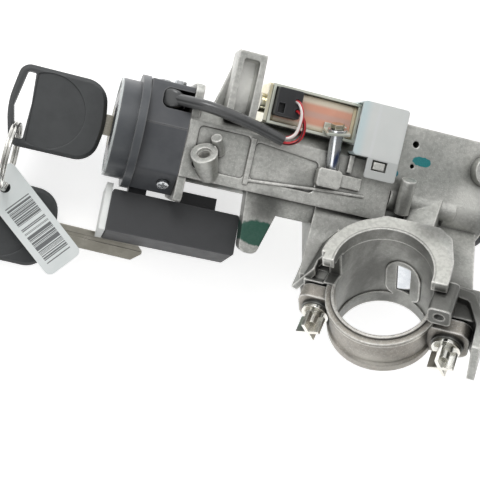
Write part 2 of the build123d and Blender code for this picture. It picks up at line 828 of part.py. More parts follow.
    # threads of the shear bolts, nut boss, panel boss and plate holes
    with BuildSketch(clamp_floor(split_gap / 2)):
        with Locations((bolt_left, bolt_line), (bolt_right, bolt_line)):
            Circle(bolt_r + same_body_gap)
    extrude(amount=-foot_height + 2, mode=Mode.SUBTRACT)
    with BuildSketch(clamp_floor(nut_boss_end)):
        with Locations((nut_boss_s, nut_boss_n)):
            Circle(nut_boss_hole_r)
    extrude(amount=-nut_boss_length + 3, mode=Mode.SUBTRACT)
    with BuildSketch(boss_plane):
        Circle(boss_hole_r)
    extrude(amount=-10, mode=Mode.SUBTRACT)
    with BuildSketch(front_slice(panel_z)):
        for x, y, r in plate_holes:
            with Locations((x, y)):
                Circle(r)
    extrude(amount=-8, mode=Mode.SUBTRACT)

# Plane through the column axis; its x runs across and its y along the column
column_side = Plane(origin=(0, 0, 0), x_dir=across, z_dir=upward * -1)

# Two-bolt clamp cap: band and thin lip in front, rib at the back
with BuildPart() as clamp_cap:
    wall_r = column_r + cap_wall
    band_front = cap_front - cap_lip
    with BuildSketch(column_side):
        with BuildLine():
            Polyline((0, cap_back), (wall_r + cap_rib, cap_back),
                     (wall_r + cap_rib, cap_back + cap_rib_width), (wall_r, cap_back + cap_rib_width + 1),
                     (wall_r, band_front - cap_band_width), (wall_r + cap_band, band_front - cap_band_width),
                     (wall_r + cap_band, band_front), (column_r + cap_lip, band_front),
                     (column_r + cap_lip, cap_front), (0, cap_front), close=True)
        make_face()
    revolve(axis=Axis((0, 0, 0), toward))
    with BuildSketch(clamp_floor(-split_gap / 2)):
        with Locations(((bolt_left + bolt_right) / 2, bolt_line)):
            RectangleRounded(bolt_right - bolt_left + 2 * ear_reach, ear_width, 5)
    extrude(amount=ear_thickness)
    with BuildSketch(clamp_slice(cap_back - 1)):
        Circle(column_r)
    extrude(amount=cap_front - cap_back + 2, mode=Mode.SUBTRACT)
    with BuildSketch(clamp_slice(cap_back - 1)):
        with Locations((0, saddle_r)):
            Rectangle(4 * saddle_r, 2 * saddle_r + split_gap)
    extrude(amount=cap_front - cap_back + 2, mode=Mode.SUBTRACT)
    with BuildSketch(clamp_floor(-split_gap / 2)):
        with Locations((bolt_left, bolt_line), (bolt_right, bolt_line)):
            Circle(bolt_hole_r)
    extrude(amount=ear_thickness, mode=Mode.SUBTRACT)
    # flat seats of the washers
    with BuildSketch(clamp_floor(-split_gap / 2 - ear_thickness)):
        with Locations((bolt_left, bolt_line), (bolt_right, bolt_line)):
            Circle(washer_r + moulding_gap)
    extrude(amount=column_r, mode=Mode.SUBTRACT)


# Shear bolts: shank, washer face, thin neck and a head of four fins left for the driver
def shear_bolt(bolt_place):
    """One shear bolt hanging down from the cap ear at the given place across."""
    ear_face = -split_gap / 2 - ear_thickness
    seat = ear_face - washer_thickness
    with BuildPart() as bolt:
        with BuildSketch(clamp_floor(seat + bolt_length)):
            with Locations((bolt_place, bolt_line)):
                Circle(bolt_r)
        extrude(amount=bolt_length)
        with BuildSketch(clamp_floor(seat)):
            with Locations((bolt_place, bolt_line)):
                Circle(flange_r)
        extrude(amount=flange_thickness)
        with BuildSketch(clamp_floor(seat - flange_thickness)):
            with Locations((bolt_place, bolt_line)):
                Circle(neck_r)
        extrude(amount=neck_length + fin_length / 2)
        with BuildSketch(clamp_floor(seat - flange_thickness - neck_length)):
            with Locations((bolt_place, bolt_line)):
                with PolarLocations(fin_reach / 2, 4, start_angle=fin_turn):
                    Rectangle(fin_reach, fin_thickness)
        extrude(amount=fin_length)
    return bolt


shear_bolt_left = shear_bolt(bolt_left)
shear_bolt_right = shear_bolt(bolt_right)

with BuildPart() as bolt_washers:
    with BuildSketch(clamp_floor(-split_gap / 2 - ear_thickness)):
        with Locations((bolt_left, bolt_line), (bolt_right, bolt_line)):
            Circle(washer_r)
            Circle(bolt_r + same_body_gap, mode=Mode.SUBTRACT)
    extrude(amount=washer_thickness)

# Fixed sleeve of the key cylinder, with a groove each side for the wafers
with BuildPart() as cylinder_sleeve:
    with BuildSketch(barrel_slice(sleeve_front)):
        Circle(sleeve_r)
        Circle(plug_r + running_gap, mode=Mode.SUBTRACT)
    extrude(amount=sleeve_length)
    with BuildSketch(barrel_slice(wafer_first - 2 * wafer_thickness)):
        Rectangle(2 * (plug_r + wafer_groove), wafer_width + 4 * wafer_gap)
        Circle(plug_r, mode=Mode.SUBTRACT)
    extrude(amount=wafer_pitch * wafer_count, mode=Mode.SUBTRACT)
    with BuildSketch(pin_plane):
        Circle(retaining_pin_r + same_body_gap)
    extrude(amount=sleeve_r, mode=Mode.SUBTRACT)

with BuildPart() as retaining_pin:
    with BuildSketch(pin_plane.offset(plug_r + 4 * running_gap)):
        Circle(retaining_pin_r)
    extrude(amount=barrel_r - plug_r - 1)

# Turning plug with keyway, wafer slots and a tongue for the shaft
with BuildPart() as cylinder_plug:
    with BuildSketch(barrel_slice(plug_front)):
        Circle(plug_head_r)
    extrude(amount=plug_head_length)
    with BuildSketch(barrel_slice(plug_front)):
        Circle(plug_r)
    extrude(amount=plug_back - plug_front)
    with BuildSketch(barrel_slice(plug_back)):
        Rectangle(tongue_width, tongue_thickness)
    extrude(amount=tongue_length)
    with BuildSketch(barrel_slice(plug_front)):
        Rectangle(keyway_height, keyway_width)
    extrude(amount=key_blade_tip + keyway_end_gap - plug_front, mode=Mode.SUBTRACT)
    for step in range(wafer_count):
        with BuildSketch(barrel_slice(wafer_first + step * wafer_pitch - wafer_gap)):
            Rectangle(2 * plug_r + 1, wafer_width + 2 * wafer_gap)
        extrude(amount=wafer_thickness + 2 * wafer_gap, mode=Mode.SUBTRACT)

with BuildPart() as tumbler_wafers:
    for step in range(wafer_count):
        with BuildSketch(barrel_slice(wafer_first + step * wafer_pitch)):
            Rectangle(wafer_height, wafer_width)
            Rectangle(keyway_height + 4 * wafer_gap, keyway_width + 2 * wafer_gap,
                      mode=Mode.SUBTRACT)
        extrude(amount=wafer_thickness)

# Cone shaped lock face round the plug
with BuildPart() as lock_face:
    with BuildSketch(barrel_side()):
        with BuildLine():
            Polyline((face_back, face_bore), (face_back, face_r), (ring_front - same_body_gap, face_r),
                     (ring_front - face_rise, face_bore + face_lip),
                     (ring_front - face_rise, face_bore), close=True)
        make_face()
    revolve(axis=barrel_axis)

# Antenna ring with its flange; the groove at the front holds the winding
with BuildPart() as antenna_ring:
    with BuildSketch(barrel_slice(ring_front)):
        Circle(ring_r)
    extrude(amount=ring_depth)
    with BuildSketch(barrel_slice(ring_front + ring_depth)):
        Circle(ring_flange_r)
    extrude(amount=ring_flange)
    with BuildSketch(barrel_slice(ring_front)):
        Circle(ring_bore)
    extrude(amount=ring_depth + ring_flange, mode=Mode.SUBTRACT)
    with BuildSketch(barrel_slice(ring_front)):
        Circle(face_r + same_body_gap)
    extrude(amount=groove_front - ring_front, mode=Mode.SUBTRACT)
    with BuildSketch(barrel_slice(groove_front)):
        Circle(winding_outer + same_body_gap)
        Circle(winding_inner - same_body_gap, mode=Mode.SUBTRACT)
    extrude(amount=coil_groove_depth, mode=Mode.SUBTRACT)

with BuildPart() as antenna_coil:
    with BuildSketch(barrel_slice(groove_front + same_body_gap)):
        Circle(winding_outer)
        Circle(winding_inner, mode=Mode.SUBTRACT)
    extrude(amount=coil_groove_depth - 2 * same_body_gap)

with BuildPart() as light_ring:
    with BuildSketch(barrel_slice(ring_front - light_ring_depth)):
        Circle(ring_r)
        Circle(ring_r - light_ring_width, mode=Mode.SUBTRACT)
    extrude(amount=light_ring_depth)

# Screws of the covers
with BuildPart() as cover_screws:
    for seat in screw_planes:
        with BuildSketch(seat):
            Circle(screw_head_r)
        extrude(amount=screw_head)
        with BuildSketch(seat):
            Circle(screw_shank_r)
        extrude(amount=-screw_length)
        with BuildSketch(seat.offset(screw_head)):
            Rectangle(1.4 * screw_head_r, screw_cross)
            Rectangle(screw_cross, 1.4 * screw_head_r)
        extrude(amount=-screw_cross, mode=Mode.SUBTRACT)


# Covers round the front of the barrel
def cover_block(low, high):
    """Thin walled length of the cover's outline between two heights above the barrel axis."""
    with BuildPart() as cover:
        with BuildSketch(barrel_slice(cover_front)) as outline:
            with BuildLine():
                Polyline(*cover_points, close=True)
            make_face()
            fillet(outline.vertices(), cover_corner)
        extrude(amount=cover_length)
        with BuildSketch(barrel_slice(cover_front + cover_wall)) as room:
            with BuildLine():
                Polyline(*cover_points, close=True)
            make_face()
            offset(amount=-cover_wall)
        extrude(amount=cover_length, mode=Mode.SUBTRACT)
        with BuildSketch(barrel_slice(cover_front)):
            Circle(cover_bore)
        extrude(amount=cover_length, mode=Mode.SUBTRACT)
        with BuildSketch(barrel_slice(cover_front)):
            with Locations(((low + high) / 2, 0)):
                Rectangle(high - low, 4 * ring_r)
        extrude(amount=cover_length, mode=Mode.INTERSECT)
        for seat in screw_planes:
            with BuildSketch(seat.offset(-screw_length)):
                Circle(screw_shank_r + same_body_gap)
            extrude(amount=screw_length, mode=Mode.SUBTRACT)
            with BuildSketch(seat):
                Circle(screw_head_r + moulding_gap)
            extrude(amount=screw_head, mode=Mode.SUBTRACT)
    return cover


upper_block = cover_block(cover_seam + same_body_gap, cover_high + 1)
lower_block = cover_block(-cover_low - 1, cover_seam)

with BuildPart() as upper_cover:
    add(upper_block.part)
    # notch where the lead comes out
    with BuildSketch(front_slice(barrel_z + plug_r)):
        with Locations((flange_front - notch_length / 2, barrel_y + notch_level)):
            RectangleRounded(notch_length, notch_height, 3)
        with Locations((flange_front - notch_length / 4, barrel_y + notch_level)):
            Rectangle(notch_length / 2, notch_height)
    extrude(amount=ring_r, mode=Mode.SUBTRACT)

# Receiver box: closed moulding leaning back, with a socket on top and a pale end cover
lean_out = Vector(0, sin(radians(receiver_lean)), cos(radians(receiver_lean)))
lean_up = Vector(0, cos(radians(receiver_lean)), -sin(radians(receiver_lean)))
receiver_edge = Vector(0, receiver_high, receiver_top_z)
receiver_front = Plane(origin=receiver_edge, x_dir=(1, 0, 0), z_dir=lean_out)
with BuildPart() as receiver_box:
    with BuildSketch(receiver_front):
        with Locations(((receiver_left + receiver_right) / 2, -receiver_height / 2)):
            RectangleRounded(receiver_right - receiver_left, receiver_height, 1.2)
    extrude(amount=-receiver_depth)
    with BuildSketch(receiver_front.offset(-socket_inset)):
        with Locations(((socket_left + socket_right) / 2, socket_height / 2 - 0.5)):
            Rectangle(socket_right - socket_left, socket_height + 1)
    extrude(amount=-socket_depth)
    with BuildSketch(receiver_front.offset(-socket_inset - socket_wall)):
        with Locations((socket_right - socket_hollow / 2, socket_height / 2)):
            Rectangle(socket_hollow, socket_height - 2 * socket_wall)
    extrude(amount=2 * socket_wall - socket_depth, mode=Mode.SUBTRACT)

with BuildPart() as receiver_end_cover:
    with BuildSketch(receiver_front.offset(-0.6)):
        with Locations((receiver_left - same_body_gap - receiver_end / 2,
                        end_cover_rise / 2 - receiver_height / 2)):
            Rectangle(receiver_end, receiver_height + end_cover_rise)
    extrude(amount=1.2 - receiver_depth)

# Lower cover with the foot that carries the receiver box
receiver_top = Plane(origin=receiver_edge + lean_up * same_body_gap, x_dir=(1, 0, 0), z_dir=lean_up)
with BuildPart() as lower_cover:
    add(lower_block.part)
    with BuildSketch(receiver_top):
        with Locations((cover_front + foot_inset + foot_width / 2, foot_back)):
            Rectangle(foot_width, foot_width)
    extrude(amount=foot_drop)

# Board behind the upper cover, on the top ear of the flange
with BuildPart() as amplifier_board:
    with BuildSketch(Plane(origin=(0, barrel_y + top_ear_high + same_body_gap, 0), x_dir=(1, 0, 0),
                           z_dir=(0, 1, 0))):
        with Locations((flange_front - ear_out / 2, -(ear_front + ear_back) / 2)):
            Rectangle(ear_out - 2, ear_front - ear_back)
        for x, z in top_screws:
            with Locations((x, -z)):
                Circle(screw_shank_r + same_body_gap, mode=Mode.SUBTRACT)
    extrude(amount=board_thickness)

# Lead from the upper cover to the solenoid connector
def corner_radii(route):
    """Radius at each inner point: 0.45 of the shorter run over the tangent of half the turn."""
    radii = []
    for before, here, after in zip(route, route[1:], route[2:]):
        run_in = Vector(*here) - Vector(*before)
        run_out = Vector(*after) - Vector(*here)
        half_turn = radians(run_in.get_angle(run_out)) / 2
        radii.append(0.45 * min(run_in.length, run_out.length) / tan(half_turn))
    return radii


def cord_tube(route, r):
    """Round tube along straight runs joined by tangent arcs."""
    radii = corner_radii(route)
    print("cord radii", [round(value, 1) for value in radii], "section radius", r)
    start = Vector(*route[0])
    along = Vector(*route[1]) - start
    with BuildPart() as tube:
        with BuildLine() as path:
            FilletPolyline(*route, radius=radii)
        with BuildSketch(Plane(origin=start, z_dir=along)):
            Circle(r)
        sweep(path=path.wires()[0])
    length = path.wires()[0].length
    print("cord length", round(length, 1), "volume", round(tube.part.volume, 1),
          "section by length", round(pi * r * r * length, 1))
    return tube


lead_sheath = cord_tube(sheath_route, sheath_r)
wire_pale = cord_tube(pale_wire_route, wire_r)
wire_dark = cord_tube(dark_wire_route, wire_r)

# Solenoid: bent frame, end plate, bobbin, winding, fixed core and plunger
def solenoid_slice(x):
    """Plane square to the solenoid at x; its x is Y and its y is Z."""
    return Plane(origin=(x, solenoid_y, solenoid_z), x_dir=(0, 1, 0), z_dir=(1, 0, 0))


with BuildPart() as solenoid_bracket:
    with BuildSketch(front_slice(solenoid_back)):
        with Locations(((solenoid_left + solenoid_right) / 2, solenoid_y)):
            Rectangle(solenoid_right - solenoid_left, frame_height)
        with Locations(((solenoid_left + solenoid_right) / 2 + bracket_sheet, solenoid_y)):
            Rectangle(solenoid_right - solenoid_left, frame_height - 2 * bracket_sheet,
                      mode=Mode.SUBTRACT)
    extrude(amount=frame_depth)
    with BuildSketch(solenoid_slice(solenoid_left)):
        Circle(plunger_r + same_body_gap)
    extrude(amount=bracket_sheet, mode=Mode.SUBTRACT)
    # web in front of the coil and the tab bent over the post
    with BuildSketch(front_slice(solenoid_front - bracket_sheet)):
        with Locations((post_top.X, (solenoid_low + web_high) / 2)):
            Rectangle(tab_width, web_high - solenoid_low)
    extrude(amount=bracket_sheet)
    with BuildSketch(tab_plane):
        with Locations((0, (tab_back - tab_front) / 2)):
            Rectangle(tab_width, tab_back + tab_front)
        Circle(post_screw_r + same_body_gap, mode=Mode.SUBTRACT)
    extrude(amount=bracket_sheet)

with BuildPart() as solenoid_end_plate:
    with BuildSketch(solenoid_slice(solenoid_right - bracket_sheet)):
        Rectangle(frame_height - 2 * bracket_sheet - 2 * same_body_gap, frame_depth)
        Circle(plunger_r + moulding_gap, mode=Mode.SUBTRACT)
    extrude(amount=bracket_sheet)

bobbin_left = solenoid_left + bracket_sheet + same_body_gap
bobbin_right = solenoid_right - bracket_sheet - same_body_gap
bobbin_side = frame_height - 2 * bracket_sheet - 2 * same_body_gap
with BuildPart() as solenoid_bobbin:
    for x in (bobbin_left, bobbin_right - bobbin_flange):
        with BuildSketch(solenoid_slice(x)):
            RectangleRounded(bobbin_side, bobbin_side, 2)
        extrude(amount=bobbin_flange)
    with BuildSketch(solenoid_slice(bobbin_left)):
        Circle(bobbin_tube_r)
    extrude(amount=bobbin_right - bobbin_left)
    with BuildSketch(solenoid_slice(bobbin_left)):
        Circle(plunger_r + running_gap)
    extrude(amount=bobbin_right - bobbin_left, mode=Mode.SUBTRACT)

with BuildPart() as solenoid_coil:
    with BuildSketch(solenoid_slice(bobbin_left + bobbin_flange + same_body_gap)):
        Circle(winding_r)
        Circle(bobbin_tube_r + same_body_gap, mode=Mode.SUBTRACT)
    extrude(amount=bobbin_right - bobbin_left - 2 * (bobbin_flange + same_body_gap))

core_back = solenoid_left - same_body_gap - core_plate
with BuildPart() as solenoid_core:
    with BuildSketch(solenoid_slice(core_back)):
        RectangleRounded(frame_height, frame_depth - 2, 1)
    extrude(amount=core_plate)
    with BuildSketch(solenoid_slice(core_back)):
        Circle(plunger_r)
    extrude(amount=core_depth)
    with BuildSketch(solenoid_slice(core_back)):
        Circle(rivet_r)
    extrude(amount=-core_plate)

with BuildPart() as plunger:
    with BuildSketch(solenoid_slice(core_back + core_depth + plunger_stroke + plunger_end_gap)):
        Circle(plunger_r)
    extrude(amount=collar_x - core_back - core_depth - plunger_stroke - plunger_end_gap)
    with BuildSketch(solenoid_slice(collar_x - collar_width)):
        Circle(collar_r)
    extrude(amount=collar_width)
    with BuildSketch(solenoid_slice(collar_x)):
        Circle(plunger_neck_r)
    extrude(amount=neck_gap)
    with BuildSketch(solenoid_slice(collar_x + neck_gap)):
        Circle(plunger_head_r)
    extrude(amount=plunger_head)


def coil_spring(plane, r, wire, length, turns):
    """Compression spring of round wire with its axis along the plane's normal."""
    path = plane.location * Helix(pitch=length / turns, height=length, radius=r)
    with BuildPart() as spring:
        with BuildSketch(Plane(origin=path @ 0, z_dir=path % 0)):
            Circle(wire / 2)
        sweep(path=path, is_frenet=True)
    return spring


plunger_spring = coil_spring(solenoid_slice(solenoid_right + plunger_spring_wire / 2 + same_body_gap),
                             plunger_spring_r, plunger_spring_wire, plunger_spring_length, 3)

# Connector in front of the coil
with BuildPart() as coil_connector:
    with BuildSketch(front_slice(connector_back)):
        with Locations(((connector_left + connector_right) / 2,
                        (connector_low + connector_high) / 2)):
            RectangleRounded(connector_right - connector_left, connector_high - connector_low, 0.8)
    extrude(amount=connector_front - connector_back)
    with BuildSketch(front_slice(connector_front)):
        with Locations((connector_left + 2.6, connector_low + 3.4)):
            Rectangle(2.8, 4.2)
    extrude(amount=-latch_pocket, mode=Mode.SUBTRACT)
    for route in (pale_wire_route, dark_wire_route):
        hole_bottom = Plane(origin=route[-1], z_dir=Vector(*route[-2]) - Vector(*route[-1]))
        with BuildSketch(hole_bottom.offset(-same_body_gap)):
            Circle(wire_r + moulding_gap)
        extrude(amount=wire_hole_depth, mode=Mode.SUBTRACT)

# Post in front of the panel with its washer and screw
with BuildPart() as mounting_post:
    with BuildSketch(post_plane):
        Circle(post_r)
    extrude(amount=post_length + post_seat)
    with BuildSketch(tab_plane.offset(-same_body_gap)):
        Circle(post_screw_r + same_body_gap)
    extrude(amount=-post_screw_length, mode=Mode.SUBTRACT)

washer_plane = tab_plane.offset(bracket_sheet + same_body_gap)
with BuildPart() as post_washer:
    with BuildSketch(washer_plane):
        Circle(post_washer_r)
        Circle(post_screw_r + same_body_gap, mode=Mode.SUBTRACT)
    extrude(amount=post_washer_thickness)

head_plane = washer_plane.offset(post_washer_thickness + same_body_gap)
with BuildPart() as post_screw:
    with BuildSketch(head_plane):
        RegularPolygon(post_screw_head_r, 6)
    extrude(amount=post_screw_head)
    with BuildSketch(head_plane):
        Circle(post_screw_r)
    extrude(amount=-post_screw_length)

# Clear interlock cap: box over the plunger end, open to the left and below
with BuildPart() as interlock_cap:
    with BuildSketch(front_slice(cap_box_back)):
        with Locations(((cap_box_left + cap_box_right) / 2, (cap_box_high + cap_box_low) / 2)):
            RectangleRounded(cap_box_right - cap_box_left, cap_box_high - cap_box_low, 1.6)
    extrude(amount=cap_box_front - cap_box_back)
    # room inside, running out to the left
    with BuildSketch(front_slice(cap_box_back + cap_box_wall)):
        with Locations(((cap_box_left + cap_box_right) / 2 - cap_box_wall,
                        (cap_box_high + cap_box_low) / 2)):
            Rectangle(cap_box_right - cap_box_left,
                      cap_box_high - cap_box_low - 2 * cap_box_wall)
    extrude(amount=cap_box_front - cap_box_back - 2 * cap_box_wall, mode=Mode.SUBTRACT)
    # room of the housing that the cap straddles
    with BuildSketch(barrel_slice(cap_box_left)):
        with BuildLine():
            Polyline(*[(dy + slide_gap, dz + slide_gap) for dy, dz in shoulder_points], close=True)
        make_face()
    extrude(amount=cap_box_right - cap_box_left, mode=Mode.SUBTRACT)
    # latch tongue and its window
    with BuildSketch(front_slice(cap_box_front - cap_box_wall)):
        with Locations((latch_left + latch_width / 2, (cap_box_low + 2 + latch_low) / 2)):
            RectangleRounded(latch_width, cap_box_low + 2 - latch_low, 1.2)
    extrude(amount=cap_box_wall)
    with BuildSketch(front_slice(cap_box_front)):
        with Locations((latch_nose_x, latch_nose_y)):
            Rectangle(window_width, window_height)
    extrude(amount=-cap_box_wall, mode=Mode.SUBTRACT)

# Interlock lever: hub on its pin, fork round the plunger neck and nose at the stop disc
lever_lean = degrees(asin(plunger_stroke / 2 / lever_arm))
lever_x_dir = (cos(radians(lever_lean)), -sin(radians(lever_lean)), 0)


def lever_slice(z):
    """Plane facing front at z, centred on the lever's pin; its y runs up along the arm."""
    return Plane(origin=(lever_x, lever_y, z), x_dir=lever_x_dir, z_dir=(0, 0, 1))


with BuildPart() as interlock_lever:
    with BuildSketch(lever_slice(lever_back)):
        Circle(lever_hub_r)
    extrude(amount=lever_front - lever_back)
    with BuildSketch(lever_slice(lever_back)):
        with Locations((0, -nose_reach / 2)):
            Rectangle(lever_thickness, nose_reach)
    extrude(amount=nose_width)
    with BuildSketch(lever_slice(fork_back)):
        with Locations((0, fork_foot / 2)):
            Rectangle(lever_thickness, fork_foot + 1)
    extrude(amount=lever_front - fork_back)
    with BuildSketch(lever_slice(fork_back)):
        with Locations((0, (fork_foot + lever_arm) / 2)):
            Rectangle(lever_thickness, lever_arm - fork_foot)
        with Locations((0, lever_arm)):
            Circle(lever_thickness / 2)
    extrude(amount=fork_front - fork_back)
    with BuildSketch(lever_slice(solenoid_z - plunger_neck_r - moulding_gap)):
        with Locations((0, lever_arm)):
            Rectangle(2 * lever_thickness, 2 * (plunger_neck_r + 2 * moulding_gap))
    extrude(amount=2 * (plunger_neck_r + moulding_gap), mode=Mode.SUBTRACT)
    with BuildSketch(lever_slice(lever_back)):
        Circle(lever_pin_r + running_gap)
    extrude(amount=lever_front - lever_back, mode=Mode.SUBTRACT)

with BuildPart() as lever_pin:
    with BuildSketch(lever_slice(lever_back - lever_pin_seat)):
        Circle(lever_pin_r)
    extrude(amount=lever_front - lever_back + 2 * lever_pin_seat)


# Lock bolt with its yoke and spring
def bolt_level(v):
    """Plane square to the lock bolt at height v, centred on it; its y runs back along the column."""
    return Plane(origin=upward * v + across * bolt_s + toward * bolt_n, x_dir=across, z_dir=upward)


with BuildPart() as lock_bolt:
    with BuildSketch(bolt_level(column_r + bolt_inset)):
        RectangleRounded(bolt_width, bolt_depth, 0.8)
    extrude(amount=yoke_bottom - column_r - bolt_inset)
    with BuildSketch(bolt_level(yoke_bottom)):
        Rectangle(bolt_width, 2 * yoke_half)
    extrude(amount=yoke_top - yoke_bottom)
    with BuildSketch(bolt_level(window_low)):
        Rectangle(bolt_width, 2 * yoke_window)
    extrude(amount=window_high - window_low, mode=Mode.SUBTRACT)

with BuildPart() as chamber_cover:
    with BuildSketch(bolt_level(chamber_top + same_body_gap)):
        RectangleRounded(2 * (chamber_half_s + chamber_wall) - 1,
                         2 * (chamber_half_n + chamber_wall) - 1, 2)
    extrude(amount=chamber_cover_plate)
    with BuildSketch(bolt_level(chamber_top + same_body_gap)):
        Rectangle(2 * (chamber_half_s - same_body_gap), 2 * (chamber_half_n - same_body_gap))
    extrude(amount=-chamber_cover_plug)

bolt_spring = coil_spring(bolt_level(yoke_top + bolt_spring_wire), bolt_spring_r, bolt_spring_wire,
                          spring_room - chamber_cover_plug - 2 * bolt_spring_wire, 4)

# Shaft from the plug to the switch: socket, stop disc, journal, cam and drive flats
with BuildPart() as cam_shaft:
    with BuildSketch(barrel_side()):
        with BuildLine():
            Polyline((shaft_front, 0), (shaft_front, coupling_r), (shaft_front + coupling_length, coupling_r),
                     (shaft_front + coupling_length, journal_r - 1), (stop_disc_front, journal_r - 1),
                     (stop_disc_front, stop_core_r), (stop_disc_front + stop_disc_width, stop_core_r),
                     (stop_disc_front + stop_disc_width, journal_r), (cam_front - journal_step, journal_r),
                     (cam_front - journal_step, shaft_r), (shaft_end, shaft_r), (shaft_end, 0),
                     close=True)
        make_face()
    revolve(axis=barrel_axis)
    # stop disc with an open arc for the nose of the interlock lever
    with BuildSketch(barrel_slice(stop_disc_front)):
        Circle(stop_disc_r)
        with BuildLine():
            Polyline((0, 0), *[(2 * stop_disc_r * cos(radians(a)), 2 * stop_disc_r * sin(radians(a)))
                               for a in stop_arc], close=True)
        make_face(mode=Mode.SUBTRACT)
    extrude(amount=stop_disc_width)
    with BuildSketch(barrel_slice(cam_front)):
        with Locations((0, -cam_offset)):
            Circle(cam_r)
    extrude(amount=cam_width)
    # socket for the tongue of the plug
    with BuildSketch(barrel_slice(shaft_front)):
        Rectangle(tongue_width + 2 * same_body_gap, tongue_thickness + 2 * same_body_gap)
    extrude(amount=tongue_length, mode=Mode.SUBTRACT)
    # drive flats in the switch
    with BuildSketch(barrel_slice(housing_end - 1)):
        for side in (-1, 1):
            with Locations((0, side * (flat_half + shaft_r / 2))):
                Rectangle(2 * shaft_r, shaft_r)
    extrude(amount=shaft_end - housing_end + 1, mode=Mode.SUBTRACT)

# Electrical switch: body, rotor, terminals and two screws
with BuildPart() as switch_body:
    with BuildSketch(barrel_slice(switch_front)):
        Circle(recess_r - same_body_gap)
    extrude(amount=housing_end - switch_front + 1)
    with BuildSketch(barrel_slice(housing_end + same_body_gap)):
        Circle(switch_lip_r)
    extrude(amount=switch_lip)
    with BuildSketch(barrel_slice(housing_end + switch_lip)):
        Circle(recess_r - same_body_gap)
    extrude(amount=switch_body_length - switch_lip)
    with BuildSketch(barrel_slice(socket_front)):
        RectangleRounded(switch_socket_width, switch_socket_height, 1.5)
    extrude(amount=switch_socket_length)
    with BuildSketch(barrel_slice(socket_front + switch_socket_length)):
        RectangleRounded(switch_socket_width - 2 * socket_wall,
                         switch_socket_height - 2 * socket_wall, 1)
    extrude(amount=-switch_socket_depth, mode=Mode.SUBTRACT)
    with BuildSketch(barrel_slice(switch_front)):
        Circle(shaft_r + 1)
    extrude(amount=rotor_length, mode=Mode.SUBTRACT)
    with BuildSketch(barrel_slice(housing_end)):
        Circle(rotor_r + moulding_gap)
    extrude(amount=rotor_length + 2, mode=Mode.SUBTRACT)
    with BuildSketch(barrel_slice(housing_end)):
        with PolarLocations(switch_screw_ring, 2, start_angle=switch_screw_angle):
            Circle(switch_screw_r + same_body_gap)
    extrude(amount=2 * switch_lip, mode=Mode.SUBTRACT)
    # sockets of the terminals
    with BuildSketch(barrel_slice(terminal_base)):
        with GridLocations(terminal_pitch, 1, terminal_count, 1):
            Rectangle(terminal_width + 2 * same_body_gap, terminal_sheet + 2 * same_body_gap)
    extrude(amount=switch_socket_length, mode=Mode.SUBTRACT)

with BuildPart() as switch_rotor:
    with BuildSketch(barrel_slice(housing_end + 1)):
        Circle(rotor_r)
        Rectangle(2 * (shaft_r + same_body_gap), 2 * (flat_half + same_body_gap),
                  mode=Mode.SUBTRACT)
    extrude(amount=rotor_length)

with BuildPart() as switch_terminals:
    with BuildSketch(barrel_slice(terminal_base + same_body_gap)):
        with GridLocations(terminal_pitch, 1, terminal_count, 1):
            Rectangle(terminal_width, terminal_sheet)
    extrude(amount=terminal_length)

with BuildPart() as switch_screws:
    with BuildSketch(barrel_slice(housing_end + switch_lip + 2 * same_body_gap)):
        with PolarLocations(switch_screw_ring, 2, start_angle=switch_screw_angle):
            Circle(1.7 * switch_screw_r)
    extrude(amount=switch_screw_r)
    with BuildSketch(barrel_slice(housing_end - 2 * switch_lip)):
        with PolarLocations(switch_screw_ring, 2, start_angle=switch_screw_angle):
            Circle(switch_screw_r)
    extrude(amount=3 * switch_lip + 2 * same_body_gap)


# Keys: the first in the cylinder, the spare on the ring
def key_head_at(place):
    """Moulded key head in the plane that faces the front, with a long slot for the ring."""
    with BuildPart() as head:
        with BuildSketch(place.offset(-key_head_thickness / 2)):
            with BuildLine():
                FilletPolyline(*key_points, radius=key_corners, close=True)
            make_face()
        extrude(amount=key_head_thickness)
        chamfer(head.faces().filter_by(GeomType.PLANE).sort_by(SortBy.AREA)[-2:].edges(), key_edge)
        with BuildSketch(place.offset(-key_head_thickness / 2)) as slot:
            with BuildLine():
                Polyline(*slot_points, close=True)
            make_face()
            fillet(slot.vertices(), 1)
        extrude(amount=key_head_thickness, mode=Mode.SUBTRACT)
        for side in (-1, 1):
            with BuildSketch(place.offset(side * key_head_thickness / 2)):
                with Locations((recess_x, barrel_y)):
                    Circle(recess_circle_r)
                with Locations((recess_left - recess_circle_r, barrel_y)):
                    Rectangle(2 * recess_circle_r, 3 * recess_circle_r, mode=Mode.SUBTRACT)
            extrude(amount=-side * key_recess, mode=Mode.SUBTRACT)
        with BuildSketch(place.offset(-key_blade_thickness / 2 - same_body_gap)):
            with Locations((key_root - same_body_gap, barrel_y)):
                Rectangle(2 * key_seat, key_blade_width + 2 * same_body_gap)
        extrude(amount=key_blade_thickness + 2 * same_body_gap, mode=Mode.SUBTRACT)
    return head


def key_blade_at(place):
    """Steel blade with a pointed tip and a milled groove in each face."""
    half = key_blade_width / 2
    with BuildPart() as blade:
        with BuildSketch(place.offset(-key_blade_thickness / 2)):
            with BuildLine():
                Polyline((key_root - key_seat, barrel_y + half), (key_blade_tip - half, barrel_y + half),
                         (key_blade_tip, barrel_y + half / 6), (key_blade_tip, barrel_y - half / 6),
                         (key_blade_tip - half, barrel_y - half), (key_root - key_seat, barrel_y - half),
                         close=True)
            make_face()
        extrude(amount=key_blade_thickness)
        for side in (-1, 1):
            with BuildSketch(place.offset(side * key_blade_thickness / 2)):
                with Locations(((key_root + half + key_blade_tip) / 2, barrel_y + side * half / 4)):
                    Rectangle(key_blade_tip - key_root - half, key_groove_width)
            extrude(amount=-side * key_groove, mode=Mode.SUBTRACT)
    return blade


key_head = key_head_at(front_slice(key_z))
key_blade = key_blade_at(front_slice(key_z))
spare_key_head = key_head_at(spare_key)
spare_key_blade = key_blade_at(spare_key)

